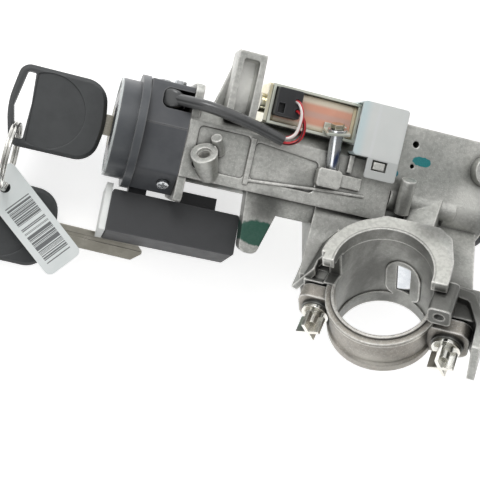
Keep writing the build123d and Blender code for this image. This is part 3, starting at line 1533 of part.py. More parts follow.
# Split ring of two wire turns, from the key head's slot to the tag's hole
with BuildPart() as key_ring:
    for shift in (-ring_wire_shift, ring_wire_shift):
        with BuildSketch(Plane(origin=ring_centre + ring_normal * shift, x_dir=ring_radial,
                               z_dir=ring_normal.cross(ring_radial))):
            with Locations((ring_loop_r, 0)):
                Circle(ring_wire / 2)
        revolve(axis=Axis(ring_centre, ring_normal))

# Tag with rounded corners and a hole for the ring
with BuildPart() as key_tag:
    with BuildSketch(tag_face):
        with Locations((tag_length / 2 - tag_hole_inset, 0)):
            RectangleRounded(tag_length, tag_width, 3)
        Circle(tag_hole_r, mode=Mode.SUBTRACT)
    extrude(amount=tag_thickness)

# Finished pieces
save(lock_housing, "lock_housing")
save(clamp_cap, "clamp_cap")
save(shear_bolt_left, "shear_bolt_left")
save(shear_bolt_right, "shear_bolt_right")
save(bolt_washers, "bolt_washers")
save(cylinder_sleeve, "cylinder_sleeve")
save(retaining_pin, "retaining_pin")
save(cylinder_plug, "cylinder_plug")
save(tumbler_wafers, "tumbler_wafers")
save(lock_face, "lock_face")
save(antenna_ring, "antenna_ring")
save(antenna_coil, "antenna_coil")
save(light_ring, "light_ring")
save(upper_cover, "upper_cover")
save(lower_cover, "lower_cover")
save(cover_screws, "cover_screws")
save(receiver_box, "receiver_box")
save(receiver_end_cover, "receiver_end_cover")
save(amplifier_board, "amplifier_board")
save(lead_sheath, "lead_sheath")
save(wire_pale, "wire_pale")
save(wire_dark, "wire_dark")
save(solenoid_bracket, "solenoid_bracket")
save(solenoid_end_plate, "solenoid_end_plate")
save(solenoid_bobbin, "solenoid_bobbin")
save(solenoid_coil, "solenoid_coil")
save(solenoid_core, "solenoid_core")
save(plunger, "plunger")
save(plunger_spring, "plunger_spring")
save(coil_connector, "coil_connector")
save(mounting_post, "mounting_post")
save(post_washer, "post_washer")
save(post_screw, "post_screw")
save(interlock_cap, "interlock_cap")
save(interlock_lever, "interlock_lever")
save(lever_pin, "lever_pin")
save(lock_bolt, "lock_bolt")
save(chamber_cover, "chamber_cover")
save(bolt_spring, "bolt_spring")
save(cam_shaft, "cam_shaft")
save(switch_body, "switch_body")
save(switch_rotor, "switch_rotor")
save(switch_terminals, "switch_terminals")
save(switch_screws, "switch_screws")
save(key_head, "key_head")
save(key_blade, "key_blade")
save(spare_key_head, "spare_key_head")
save(spare_key_blade, "spare_key_blade")
save(key_ring, "key_ring")
save(key_tag, "key_tag")
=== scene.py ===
import json
import math

import bpy
import numpy as np
from mathutils import Matrix, Vector


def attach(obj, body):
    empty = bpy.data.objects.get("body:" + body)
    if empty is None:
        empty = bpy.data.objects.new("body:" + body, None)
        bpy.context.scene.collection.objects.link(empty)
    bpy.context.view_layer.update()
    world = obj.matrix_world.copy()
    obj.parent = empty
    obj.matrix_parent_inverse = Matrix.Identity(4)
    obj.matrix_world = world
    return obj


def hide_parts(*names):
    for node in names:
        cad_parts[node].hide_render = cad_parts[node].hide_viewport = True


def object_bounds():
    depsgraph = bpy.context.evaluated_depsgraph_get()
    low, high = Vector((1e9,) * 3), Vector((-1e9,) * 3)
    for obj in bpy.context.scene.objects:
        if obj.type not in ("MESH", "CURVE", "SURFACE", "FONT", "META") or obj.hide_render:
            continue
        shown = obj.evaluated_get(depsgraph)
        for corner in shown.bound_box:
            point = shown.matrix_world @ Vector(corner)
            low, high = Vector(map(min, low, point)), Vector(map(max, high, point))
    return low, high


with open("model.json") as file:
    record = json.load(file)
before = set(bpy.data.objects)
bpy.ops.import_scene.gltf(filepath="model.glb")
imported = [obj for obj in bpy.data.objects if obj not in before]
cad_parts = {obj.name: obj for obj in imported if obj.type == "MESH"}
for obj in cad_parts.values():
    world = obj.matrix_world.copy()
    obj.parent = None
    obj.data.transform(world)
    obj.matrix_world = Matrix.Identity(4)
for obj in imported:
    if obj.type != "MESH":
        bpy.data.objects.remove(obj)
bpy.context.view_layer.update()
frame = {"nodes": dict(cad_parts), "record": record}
MM = 0.001

# The steering column's axis and the direction up the clamp, as in the solid model
COLUMN = Vector((-0.383022, 0.642788, 0.663414))
UPWARD = Vector((0.321394, 0.766044, -0.556670))


# Helpers for shader nodes

def tint(red, green, blue):
    """Linear values that the sockets take for a screen colour of 0 to 255 in each channel."""
    return tuple((c / 255 / 12.92) if c <= 10 else ((c / 255 + 0.055) / 1.055) ** 2.4
                 for c in (red, green, blue)) + (1.0,)


def place(tree, kind, feeds=None, **settings):
    """Adds a node; feeds gives each input a plain value or the output that is linked to it."""
    node = tree.nodes.new(kind)
    for key, value in settings.items():
        setattr(node, key, value)
    for key, value in (feeds or {}).items():
        if isinstance(value, bpy.types.NodeSocket):
            tree.links.new(value, node.inputs[key])
        else:
            node.inputs[key].default_value = value
    return node


def maths(tree, operation, *values, clamp=False):
    """One Math node on plain numbers or outputs."""
    node = place(tree, "ShaderNodeMath", dict(enumerate(values)), operation=operation)
    node.use_clamp = clamp
    return node.outputs[0]


def vector_maths(tree, operation, *values):
    """One Vector Math node; a length and a dot product give a number, the others a vector."""
    node = place(tree, "ShaderNodeVectorMath", dict(enumerate(values)), operation=operation)
    return node.outputs["Value" if operation in ("LENGTH", "DOT_PRODUCT") else "Vector"]


def own_point(tree):
    """The shaded point in the piece's own metres, which at rest are the part's frame."""
    return place(tree, "ShaderNodeTexCoord").outputs["Object"]


def axes(tree, vector):
    """The X, Y and Z outputs of a vector."""
    return place(tree, "ShaderNodeSeparateXYZ", {0: vector}).outputs


def off_from(tree, value, centre):
    """How far a value is from centre, to either side."""
    return maths(tree, "ABSOLUTE", maths(tree, "SUBTRACT", value, centre))


def span(tree, value, low, high, out_low=0.0, out_high=1.0):
    """Carries value from low..high to out_low..out_high with soft ends."""
    return place(tree, "ShaderNodeMapRange", {"Value": value, "From Min": low, "From Max": high,
                 "To Min": out_low, "To Max": out_high}, interpolation_type="SMOOTHSTEP").outputs[0]


def blend(tree, factor, first, second):
    """Colour that goes from first to second as factor goes from 0 to 1."""
    return place(tree, "ShaderNodeMix", {0: factor, 6: first, 7: second}, data_type="RGBA").outputs[2]


def wash(tree, base, mask, share, colour):
    """Lays a colour over base: mask says where, and share how strongly."""
    return blend(tree, maths(tree, "MULTIPLY", mask, share), base, tint(*colour))


def new_group(name, inputs, outputs):
    """Empty shader node group with named sockets; gives the tree, its input and output nodes."""
    tree = bpy.data.node_groups.new(name, "ShaderNodeTree")
    for key, kind, value in inputs:
        tree.interface.new_socket(name=key, in_out="INPUT", socket_type=kind).default_value = value
    for key, kind in outputs:
        tree.interface.new_socket(name=key, in_out="OUTPUT", socket_type=kind)
    return tree, tree.nodes.new("NodeGroupInput").outputs, tree.nodes.new("NodeGroupOutput").inputs


# Effects that the finishes share

def make_soft_edge():
    """Rounds the light over sharp edges and gives three masks. The first is high where rays inside
    the piece soon leave it, on corners lightened for wear and as painted highlight; the second
    where rays outside it soon meet something, for painted shade in hollows; the third the same
    for rays of a share of that length, for painted shade in creases."""
    tree, given, wanted = new_group(
        "soft_edge",
        [("Radius", "NodeSocketFloat", 0.0004), ("Wear Reach", "NodeSocketFloat", 0.0008),
         ("Hollow Reach", "NodeSocketFloat", 0.006)],
        [("Normal", "NodeSocketVector"), ("Wear_And_Highlight", "NodeSocketFloat"),
         ("Hollow_Shade", "NodeSocketFloat"), ("Seam", "NodeSocketFloat")])
    crease_share = 0.28
    rounded = place(tree, "ShaderNodeBevel", {"Radius": given["Radius"]}, samples=6)
    inside = place(tree, "ShaderNodeAmbientOcclusion", {"Distance": given["Wear Reach"]},
                   samples=6, inside=True, only_local=True)
    outside = place(tree, "ShaderNodeAmbientOcclusion", {"Distance": given["Hollow Reach"]}, samples=8)
    near_reach = maths(tree, "MULTIPLY", given["Hollow Reach"], crease_share)
    near = place(tree, "ShaderNodeAmbientOcclusion", {"Distance": near_reach}, samples=8)
    tree.links.new(rounded.outputs[0], wanted["Normal"])
    # Masks for corners lightened for wear and as painted highlight, and for painted shade in hollows
    # and creases
    tree.links.new(span(tree, inside.outputs["AO"], 0.88, 0.50), wanted["Wear_And_Highlight"])
    tree.links.new(span(tree, outside.outputs["AO"], 0.95, 0.15), wanted["Hollow_Shade"])
    tree.links.new(span(tree, near.outputs["AO"], 0.88, 0.40), wanted["Seam"])
    return tree


def make_grit():
    """Grain of a surface: fine noise for the skin, wider noise for clouds and a cell pattern
    for single specks. Height joins the fine noise and the specks."""
    tree, given, wanted = new_group(
        "grit",
        [("Fine", "NodeSocketFloat", 2600.0), ("Cloud Size", "NodeSocketFloat", 90.0),
         ("Speck Size", "NodeSocketFloat", 900.0)],
        [("Height", "NodeSocketFloat"), ("Cloud", "NodeSocketFloat"), ("Speck", "NodeSocketFloat")])
    where = own_point(tree)
    fine = place(tree, "ShaderNodeTexNoise", {"Vector": where, "Scale": given["Fine"], "Detail": 3.0})
    cloud = place(tree, "ShaderNodeTexNoise", {"Vector": where, "Scale": given["Cloud Size"],
                                               "Detail": 4.0, "Roughness": 0.55})
    speck = place(tree, "ShaderNodeTexVoronoi", {"Vector": where, "Scale": given["Speck Size"]})
    dots = span(tree, speck.outputs["Distance"], 0.35, 0.1)
    height = maths(tree, "ADD", fine.outputs[0], maths(tree, "MULTIPLY", dots, 0.35))
    tree.links.new(height, wanted["Height"])
    tree.links.new(span(tree, cloud.outputs[0], 0.3, 0.7), wanted["Cloud"])
    tree.links.new(dots, wanted["Speck"])
    return tree


def make_brushed():
    """Fine lines left by turning, drawing or rolling: noise squeezed by Stretch, which is
    small along the lines and large across them."""
    tree, given, wanted = new_group(
        "brushed", [("Stretch", "NodeSocketVector", (60.0, 3000.0, 3000.0))],
        [("Height", "NodeSocketFloat"), ("Streak", "NodeSocketFloat")])
    squeezed = vector_maths(tree, "MULTIPLY", own_point(tree), given["Stretch"])
    lines = place(tree, "ShaderNodeTexNoise", {"Vector": squeezed, "Scale": 1.0, "Detail": 3.0})
    tree.links.new(lines.outputs[0], wanted["Height"])
    tree.links.new(span(tree, lines.outputs[0], 0.3, 0.7), wanted["Streak"])
    return tree


def make_patch():
    """Blotch of paint, painted shade or painted light: one inside an ellipsoid about Centre with
    half sizes Reach, zero outside. Inner is where it starts to fade, as a share of the way out,
    and noise makes its edge ragged."""
    tree, given, wanted = new_group(
        "patch",
        [("Centre", "NodeSocketVector", (0.0, 0.0, 0.0)), ("Reach", "NodeSocketVector", (0.01,) * 3),
         ("Ragged", "NodeSocketFloat", 0.5), ("Inner", "NodeSocketFloat", 0.9)],
        [("Mask", "NodeSocketFloat")])
    outer = 1.05
    where = own_point(tree)
    offset = vector_maths(tree, "SUBTRACT", where, given["Centre"])
    far = vector_maths(tree, "LENGTH", vector_maths(tree, "DIVIDE", offset, given["Reach"]))
    noise = place(tree, "ShaderNodeTexNoise", {"Vector": where, "Scale": 420.0, "Detail": 4.0})
    wobble = maths(tree, "MULTIPLY", maths(tree, "SUBTRACT", noise.outputs[0], 0.5), given["Ragged"])
    tree.links.new(span(tree, maths(tree, "ADD", far, wobble), outer, given["Inner"]), wanted["Mask"])
    return tree


def make_level():
    """One above a plane and zero below it: the plane is square to Facing, Level from the origin."""
    tree, given, wanted = new_group(
        "level",
        [("Facing", "NodeSocketVector", (0.0, 0.0, 1.0)), ("Level", "NodeSocketFloat", 0.0),
         ("Softness", "NodeSocketFloat", 0.0002)],
        [("Mask", "NodeSocketFloat")])
    height = vector_maths(tree, "DOT_PRODUCT", own_point(tree), given["Facing"])
    over = maths(tree, "DIVIDE", maths(tree, "SUBTRACT", height, given["Level"]), given["Softness"])
    tree.links.new(maths(tree, "ADD", over, 0.0, clamp=True), wanted["Mask"])
    return tree


GROUPS = {"soft_edge": make_soft_edge(), "grit": make_grit(), "brushed": make_brushed(),
          "patch": make_patch(), "level": make_level()}


def use(tree, name, **values):
    """Places one of the shared effects; underscores in a value's name stand for spaces."""
    node = place(tree, "ShaderNodeGroup")
    node.node_tree = GROUPS[name]
    for key, value in values.items():
        node.inputs[key.replace("_", " ")].default_value = value
    return node.outputs


def bump(tree, height, depth, normal=None):
    """Turns a height in 0..1 into a normal, depth in metres."""
    node = place(tree, "ShaderNodeBump", {"Height": height, "Distance": depth})
    if normal is not None:
        tree.links.new(normal, node.inputs["Normal"])
    return node.outputs[0]


def new_material(name, **plain):
    """Empty material with a Principled shader; plain sets its sockets, underscores as spaces."""
    material = bpy.data.materials.new(name)
    material.use_nodes = True
    tree = material.node_tree
    shader = tree.nodes["Principled BSDF"]
    for key, value in plain.items():
        shader.inputs[key.replace("_", " ")].default_value = value
    return material, tree, shader


def join(tree, shader, **outputs):
    """Links outputs to the Principled shader's sockets."""
    for key, value in outputs.items():
        tree.links.new(value, shader.inputs[key.replace("_", " ")])


# Finishes

def lay_painted_light(tree, base, shades):
    """Lays wide soft patches of painted shade and painted light over a colour: each has a centre, half
    sizes, strength and colour.
    """
    for centre, reach, share, colour in shades:
        spread = use(tree, "patch", Centre=centre, Reach=reach, Ragged=0.25, Inner=0.2)["Mask"]
        base = wash(tree, base, spread, share, colour)
    return base


def plain_finish(name, colour, second, rough, metal=0.0, fine=2600.0, depth=0.00003, worn=None,
                 radius=0.0003, hollow=0.45, stretch=None, shades=(), **plain):
    """Shared recipe for moulded, turned and rolled pieces: two tones mixed by clouds, corners
    lightened for wear and as painted highlight, painted shade in hollows, soft patches of painted
    shade and painted light, and grain or drawn lines in the height."""
    material, tree, shader = new_material(name, Metallic=metal, **plain)
    edge = use(tree, "soft_edge", Radius=radius)
    grit = use(tree, "grit", Fine=fine, Cloud_Size=140.0)
    base = blend(tree, grit["Cloud"], tint(*colour), tint(*second))
    height = grit["Height"]
    if stretch:
        drawn = use(tree, "brushed", Stretch=stretch)
        base = wash(tree, base, drawn["Streak"], 0.5, second)
        height = drawn["Height"]
    # Corners lightened for wear and as painted highlight
    if worn:
        base = wash(tree, base, edge["Wear_And_Highlight"], 0.6, worn)
    # Painted shade in hollows: a darker copy of the colour
    hollow_shade_colour = [0.35 * c for c in colour]
    base = wash(tree, base, edge["Hollow_Shade"], hollow, hollow_shade_colour)
    # Soft patches of painted shade and painted light
    base = lay_painted_light(tree, base, shades)
    roughness = maths(tree, "ADD", maths(tree, "MULTIPLY", grit["Cloud"], 0.1), rough)
    join(tree, shader, Base_Color=base, Roughness=roughness,
         Normal=bump(tree, height, depth, edge["Normal"]))
    return material


def clamp_tones(tree, base, rim):
    """Tones about the column's axis: the pale ground ring above the height rim, painted shade
    streaked along drawn lines in the bore, and a soft painted shade on what lies round and behind the
    ring."""
    # Distances from the axis where each tone starts and where it is full
    ring_start, ring_full = 0.0275, 0.0262
    bore_start, bore_full = 0.0212, 0.0208
    shade_start, shade_full = 0.0500, 0.0300
    shade_inside = 0.0215
    shade_front = 0.0190
    far = vector_maths(tree, "LENGTH", vector_maths(tree, "CROSS_PRODUCT", own_point(tree), COLUMN))
    front = use(tree, "level", Facing=COLUMN, Level=rim, Softness=0.0003)["Mask"]
    base = wash(tree, base, front, span(tree, far, ring_start, ring_full), (198, 198, 192))
    drawn = use(tree, "brushed", Stretch=(120.0, 40.0, 60.0))["Streak"]
    # Painted shade in the bore, streaked along drawn lines
    bore = span(tree, far, bore_start, bore_full)
    base = wash(tree, base, bore, span(tree, drawn, 0.0, 1.0, 0.45, 0.75), (84, 84, 80))
    before = use(tree, "level", Facing=COLUMN, Level=shade_front, Softness=0.002)["Mask"]
    behind = maths(tree, "SUBTRACT", 1.0, before)
    shade = maths(tree, "MULTIPLY", behind, span(tree, far, shade_start, shade_full, 0.0, 0.75))
    return wash(tree, base, shade, maths(tree, "GREATER_THAN", far, shade_inside), (58, 58, 55))


def cast_metal(name, colour, second, rim=None, shades=(), marks=()):
    """Die cast metal: gritty skin, clouds of grey, corners lightened as painted highlight and for
    wear, painted shade in hollows and creases. rim is how high the clamp's ground front face is
    along the column, the patches given are wide soft patches of painted shade and painted light,
    and marks are paint marks on top."""
    material, tree, shader = new_material(name, Metallic=0.75)
    edge = use(tree, "soft_edge", Radius=0.0012, Wear_Reach=0.0011, Hollow_Reach=0.010)
    grit = use(tree, "grit", Fine=2200.0, Cloud_Size=75.0, Speck_Size=1300.0)
    coarse = place(tree, "ShaderNodeTexNoise", {"Vector": own_point(tree), "Scale": 640.0,
                                                "Detail": 5.0}).outputs[0]
    base = blend(tree, grit["Cloud"], tint(*colour), tint(*second))
    base = wash(tree, base, grit["Speck"], 0.45, (240, 240, 235))
    if rim:
        base = clamp_tones(tree, base, rim)
    # Painted shade in hollows and creases, then corners lightened as painted highlight and for wear
    base = wash(tree, base, edge["Hollow_Shade"], 0.75, (52, 52, 49))
    base = wash(tree, base, edge["Seam"], 0.7, (34, 34, 32))
    base = wash(tree, base, edge["Wear_And_Highlight"], 0.95, (246, 245, 240))
    base = blend(tree, span(tree, coarse, 0.42, 0.62, 0.0, 0.22), base, tint(112, 112, 108))
    # Wide soft patches of painted shade and painted light
    base = lay_painted_light(tree, base, shades)
    for centre, reach, ragged, paint in marks:
        mark = use(tree, "patch", Centre=centre, Reach=reach, Ragged=ragged)["Mask"]
        base = wash(tree, base, mark, 0.92, paint)
    rough = maths(tree, "ADD", maths(tree, "MULTIPLY", grit["Cloud"], 0.14), 0.34)
    height = maths(tree, "ADD", grit["Height"], maths(tree, "MULTIPLY", coarse, 1.2))
    join(tree, shader, Base_Color=base, Roughness=rough,
         Normal=bump(tree, height, 0.00009, edge["Normal"]))
    return material


def winding():
    """Taped coil: two peach bands with mauve between them and beige above and below, the tape's
    colour with painted reflection bands along it, with the turns faintly showing through."""
    material, tree, shader = new_material("coil_wrap", Coat_Weight=0.35, Coat_Roughness=0.2,
                                          Roughness=0.34)
    coil_height = 0.0705
    beige_start, beige_full = 0.0036, 0.0054
    mauve_start, mauve_full = 0.0022, 0.0004
    where = own_point(tree)
    off = off_from(tree, axes(tree, where)["Y"], coil_height)
    grit = use(tree, "grit", Fine=1500.0, Cloud_Size=60.0)
    turns = place(tree, "ShaderNodeTexWave", {"Vector": where, "Scale": 480.0, "Distortion": 0.6},
                  wave_type="BANDS", bands_direction="X").outputs[1]
    base = blend(tree, grit["Cloud"], tint(226, 170, 146), tint(218, 158, 134))
    # Bands by height along the coil: the tape's colour with painted reflection
    base = wash(tree, base, span(tree, off, mauve_start, mauve_full), 0.7, (198, 166, 156))
    base = blend(tree, span(tree, off, beige_start, beige_full), base, tint(222, 212, 192))
    base = wash(tree, base, turns, 0.08, (196, 124, 96))
    join(tree, shader, Base_Color=base, Normal=bump(tree, turns, 0.00002))
    return material


def zinc(name, colour, warm):
    """Bright zinc plate with the warm and cool shades of a thin passivation."""
    material, tree, shader = new_material(name, Metallic=1.0)
    edge = use(tree, "soft_edge", Radius=0.0003, Hollow_Reach=0.003)
    grit = use(tree, "grit", Fine=1500.0, Cloud_Size=110.0)
    base = wash(tree, tint(*colour), grit["Cloud"], 0.6, warm)
    # Corners lightened for wear and as painted highlight, and painted shade in hollows
    base = wash(tree, base, edge["Wear_And_Highlight"], 0.6, (244, 242, 236))
    base = wash(tree, base, edge["Hollow_Shade"], 0.4, (52, 58, 54))
    join(tree, shader, Base_Color=base, Roughness=span(tree, grit["Cloud"], 0.0, 1.0, 0.12, 0.22),
         Normal=bump(tree, grit["Height"], 0.000004, edge["Normal"]))
    return material


def light_ring_finish():
    """Milky clear ring: part of the light goes through, the rest is spread at the skin."""
    material, tree, shader = new_material("light_guide", Transmission_Weight=0.4, IOR=1.46)
    grit = use(tree, "grit", Fine=1800.0, Cloud_Size=120.0)
    edge = use(tree, "soft_edge", Radius=0.0004)
    base = blend(tree, grit["Cloud"], tint(226, 232, 230), tint(234, 240, 238))
    # Corners lightened for wear and as painted highlight
    base = wash(tree, base, edge["Wear_And_Highlight"], 0.5, (244, 248, 250))
    join(tree, shader, Base_Color=base, Normal=bump(tree, grit["Height"], 0.00002, edge["Normal"]),
         Roughness=span(tree, grit["Cloud"], 0.0, 1.0, 0.12, 0.20))
    return material


def cap_moulding():
    """Milky clear cap: bluish towards its open left end, a painted highlight along the rib down its
    front, corners lightened for wear and as painted highlight, and a greyer latch under the box."""
    material, tree, shader = new_material("clear_cap", IOR=1.46, Transmission_Weight=0.34)
    latch_start, latch_full = 0.0580, 0.0572
    open_start, open_full = -0.0160, -0.0205
    rib_place, rib_start, rib_full = -0.0135, 0.0009, 0.0004
    grit = use(tree, "grit", Fine=1400.0, Cloud_Size=70.0)
    edge = use(tree, "soft_edge", Radius=0.0007, Wear_Reach=0.0004)
    spot = axes(tree, own_point(tree))
    rib_highlight = span(tree, off_from(tree, spot["X"], rib_place), rib_start, rib_full)
    base = blend(tree, grit["Cloud"], tint(240, 243, 241), tint(245, 247, 245))
    base = wash(tree, base, span(tree, spot["X"], open_start, open_full), 0.7, (218, 240, 244))
    # Painted highlight down the rib
    base = wash(tree, base, rib_highlight, 0.75, (246, 248, 248))
    base = wash(tree, base, span(tree, spot["Y"], latch_start, latch_full), 0.8, (206, 209, 207))
    # Corners lightened for wear and as painted highlight
    base = wash(tree, base, edge["Wear_And_Highlight"], 0.7, (250, 251, 251))
    join(tree, shader, Base_Color=base, Normal=bump(tree, grit["Height"], 0.00002, edge["Normal"]),
         Roughness=span(tree, grit["Cloud"], 0.0, 1.0, 0.30, 0.38))
    return material


def striped(name, colour, stripe, half_width):
    """Wire insulation with one stripe along it, read from the tube's own map. half_width is a
    share of the way round."""
    material, tree, shader = new_material(name, Coat_Weight=0.3, Coat_Roughness=0.25, Roughness=0.38)
    fade = 0.015
    around = axes(tree, place(tree, "ShaderNodeUVMap").outputs[0])["X"]
    mask = span(tree, off_from(tree, around, 0.5), half_width, half_width - fade)
    grit = use(tree, "grit", Fine=3000.0, Cloud_Size=400.0)
    base = blend(tree, grit["Cloud"], tint(*colour), tint(*(0.85 * c for c in colour)))
    base = blend(tree, mask, base, tint(*stripe))
    join(tree, shader, Base_Color=base, Normal=bump(tree, grit["Height"], 0.00001))
    return material


def card_finish():
    """White card with plain dark bars across it: each strip of its length takes one random
    value, dark under a half. The bars stay inside a field on its front."""
    material, tree, shader = new_material("tag_white", Coat_Weight=0.25, Coat_Roughness=0.3,
                                          Roughness=0.45)
    centre = Vector((-0.1615, 0.0107, -0.0455))
    turn = math.radians(-41.0)
    strip_width = 0.00024
    field_start, field_end = 0.0075, 0.0380
    field_middle, field_start_y, field_full_y = 0.0002, 0.0062, 0.0061
    turned = place(tree, "ShaderNodeMapping", {"Vector": own_point(tree), "Location": centre,
                                               "Rotation": (0.0, 0.0, turn)}, vector_type="TEXTURE")
    spot = axes(tree, turned.outputs[0])
    strip = maths(tree, "FLOOR", maths(tree, "DIVIDE", spot["X"], strip_width))
    chance = place(tree, "ShaderNodeTexWhiteNoise", {"W": strip}, noise_dimensions="1D")
    ink = maths(tree, "LESS_THAN", chance.outputs["Value"], 0.5)
    for limit in (span(tree, off_from(tree, spot["Y"], field_middle), field_start_y, field_full_y),
                  maths(tree, "GREATER_THAN", spot["X"], field_start),
                  maths(tree, "LESS_THAN", spot["X"], field_end),
                  use(tree, "level", Level=centre.z, Softness=0.0001)["Mask"]):
        ink = maths(tree, "MULTIPLY", ink, limit)
    grit = use(tree, "grit", Fine=1600.0, Cloud_Size=60.0)
    base = blend(tree, grit["Cloud"], tint(232, 236, 235), tint(220, 226, 225))
    base = wash(tree, base, ink, 0.9, (84, 86, 88))
    join(tree, shader, Base_Color=base, Normal=bump(tree, grit["Height"], 0.00001))
    return material


# Painted shade and painted light on the housing, painted light from below on the clamp's cap
# and a painted blue reflection on the post: centre, half sizes, strength and colour
HOUSING_PAINTED_LIGHT = (
    ((-0.0510, 0.0270, -0.0280), (0.0120, 0.0110, 0.0100), 0.75, (66, 68, 65)),
    ((-0.0240, 0.0255, -0.0250), (0.0170, 0.0070, 0.0070), 0.45, (70, 70, 67)),
    ((0.0180, 0.0330, -0.0300), (0.0160, 0.0060, 0.0120), 0.46, (66, 67, 64)),
    ((0.0140, 0.0335, 0.0060), (0.0140, 0.0110, 0.0150), 0.65, (70, 70, 67)),
    ((0.0310, 0.0240, -0.0200), (0.0120, 0.0140, 0.0200), 0.37, (78, 78, 75)),
    ((0.0300, 0.0070, 0.0150), (0.0190, 0.0170, 0.0240), 0.80, (62, 62, 59)),
    ((-0.0270, 0.0130, -0.0350), (0.0110, 0.0140, 0.0260), 0.50, (78, 78, 75)),
    ((-0.0210, 0.0060, 0.0000), (0.0080, 0.0120, 0.0160), 0.43, (62, 62, 60)),
    ((0.0180, 0.0600, -0.0240), (0.0260, 0.0160, 0.0030), 0.37, (104, 109, 105)),
    ((0.0380, 0.0480, -0.0240), (0.0110, 0.0130, 0.0060), 0.70, (236, 236, 230)),
    ((-0.0380, 0.0415, -0.0248), (0.0100, 0.0080, 0.0040), 0.34, (100, 101, 98)),
    ((-0.0420, 0.0535, -0.0250), (0.0100, 0.0042, 0.0030), 0.60, (206, 206, 200)),
    ((-0.0715, 0.0790, -0.0330), (0.0090, 0.0190, 0.0090), 1.00, (255, 255, 250)),
    ((-0.0830, 0.0400, -0.0160), (0.0050, 0.0050, 0.0050), 0.50, (200, 200, 194)),
)
# Painted light from below on the lower side of the clamp's cap
CLAMP_PAINTED_LIGHT = (((0.0040, -0.0250, 0.0060), (0.0200, 0.0050, 0.0120), 0.6, (206, 203, 194)),)
# Painted blue reflection on the post
POST_PAINTED_REFLECTION = (((-0.0272, 0.0535, -0.0200), (0.0016, 0.0062, 0.0040), 0.9, (58, 86, 146)),)

# Paint marks on the housing: centre, half sizes, raggedness and colour
PAINT_MARKS = (
    ((-0.0520, 0.0150, -0.0360), (0.0110, 0.0062, 0.0200), 0.35, (36, 92, 76)),
    ((0.0128, 0.0615, -0.0240), (0.0048, 0.0021, 0.0040), 0.7, (20, 128, 132)),
    ((0.0022, 0.0540, -0.0240), (0.0012, 0.0014, 0.0040), 0.7, (30, 125, 140)),
)

# What plain_finish is given for each plain material
PLAIN_FINISHES = {
    "dark_steel": dict(colour=(86, 88, 88), second=(108, 110, 108), rough=0.3, metal=0.9,
                       worn=(170, 170, 166), stretch=(500.0, 500.0, 2500.0)),
    "bright_steel": dict(colour=(232, 234, 235), second=(206, 210, 214), rough=0.13, metal=1.0,
                         depth=0.000004, worn=(240, 240, 240), stretch=(900.0, 60.0, 60.0),
                         shades=POST_PAINTED_REFLECTION),
    "spring_steel": dict(colour=(176, 178, 178), second=(150, 150, 150), rough=0.22, metal=1.0,
                         stretch=(800.0, 800.0, 800.0)),
    "cylinder_metal": dict(colour=(176, 168, 140), second=(158, 150, 122), rough=0.28, metal=0.9,
                           worn=(214, 208, 188), stretch=(60.0, 2400.0, 2400.0)),
    "wafer_brass": dict(colour=(204, 172, 104), second=(188, 154, 88), rough=0.25, metal=1.0,
                        worn=(230, 210, 150)),
    "black_cover": dict(colour=(74, 76, 80), second=(82, 84, 87), rough=0.40, fine=5200.0,
                        worn=(128, 128, 128), Coat_Weight=0.1),
    "face_black": dict(colour=(64, 65, 68), second=(72, 73, 75), rough=0.22, fine=4200.0,
                       depth=0.00001, worn=(100, 100, 100), Coat_Weight=0.3),
    "ring_black": dict(colour=(74, 77, 81), second=(82, 85, 88), rough=0.34, fine=4200.0,
                       depth=0.00002, worn=(120, 120, 120), radius=0.0004, Coat_Weight=0.15),
    "copper_winding": dict(colour=(184, 106, 62), second=(160, 88, 50), rough=0.3, metal=0.8,
                           stretch=(3000.0, 200.0, 200.0)),
    "bobbin_plastic": dict(colour=(222, 208, 178), second=(210, 196, 166), rough=0.45),
    "bracket_metal": dict(colour=(206, 214, 200), second=(220, 222, 210), rough=0.28, metal=0.6,
                          worn=(232, 234, 226), hollow=0.2, depth=0.000006,
                          stretch=(60.0, 900.0, 900.0), radius=0.0005),
    "box_black": dict(colour=(52, 53, 55), second=(58, 59, 61), rough=0.5, fine=4600.0,
                      worn=(92, 93, 95), radius=0.0004),
    "end_grey": dict(colour=(244, 246, 243), second=(234, 237, 234), rough=0.5,
                     worn=(238, 240, 238)),
    "board_green": dict(colour=(30, 92, 60), second=(24, 78, 50), rough=0.3),
    "sheath_black": dict(colour=(66, 67, 68), second=(78, 79, 79), rough=0.26, fine=3800.0,
                         depth=0.00001, hollow=0.2, Coat_Weight=0.6, Coat_Roughness=0.2),
    "connector_black": dict(colour=(36, 37, 39), second=(44, 45, 47), rough=0.4, fine=4200.0,
                            worn=(84, 85, 87)),
    "lever_plastic": dict(colour=(226, 224, 208), second=(214, 212, 196), rough=0.42),
    "switch_black": dict(colour=(62, 63, 65), second=(70, 71, 73), rough=0.44, fine=4600.0,
                         worn=(98, 98, 100)),
    "terminal_brass": dict(colour=(212, 186, 118), second=(196, 168, 100), rough=0.22, metal=1.0,
                           stretch=(100.0, 2000.0, 2000.0)),
    "key_rubber": dict(colour=(64, 66, 67), second=(71, 73, 74), rough=0.5, fine=5600.0,
                       depth=0.00004, worn=(92, 94, 95), radius=0.0006),
    "key_steel": dict(colour=(200, 196, 184), second=(176, 172, 160), rough=0.26, metal=0.95,
                      worn=(214, 210, 200), stretch=(70.0, 2600.0, 2600.0)),
    "ring_nickel": dict(colour=(228, 228, 224), second=(204, 202, 196), rough=0.13, metal=1.0,
                        fine=900.0, depth=0.000002, worn=(236, 236, 232)),
}

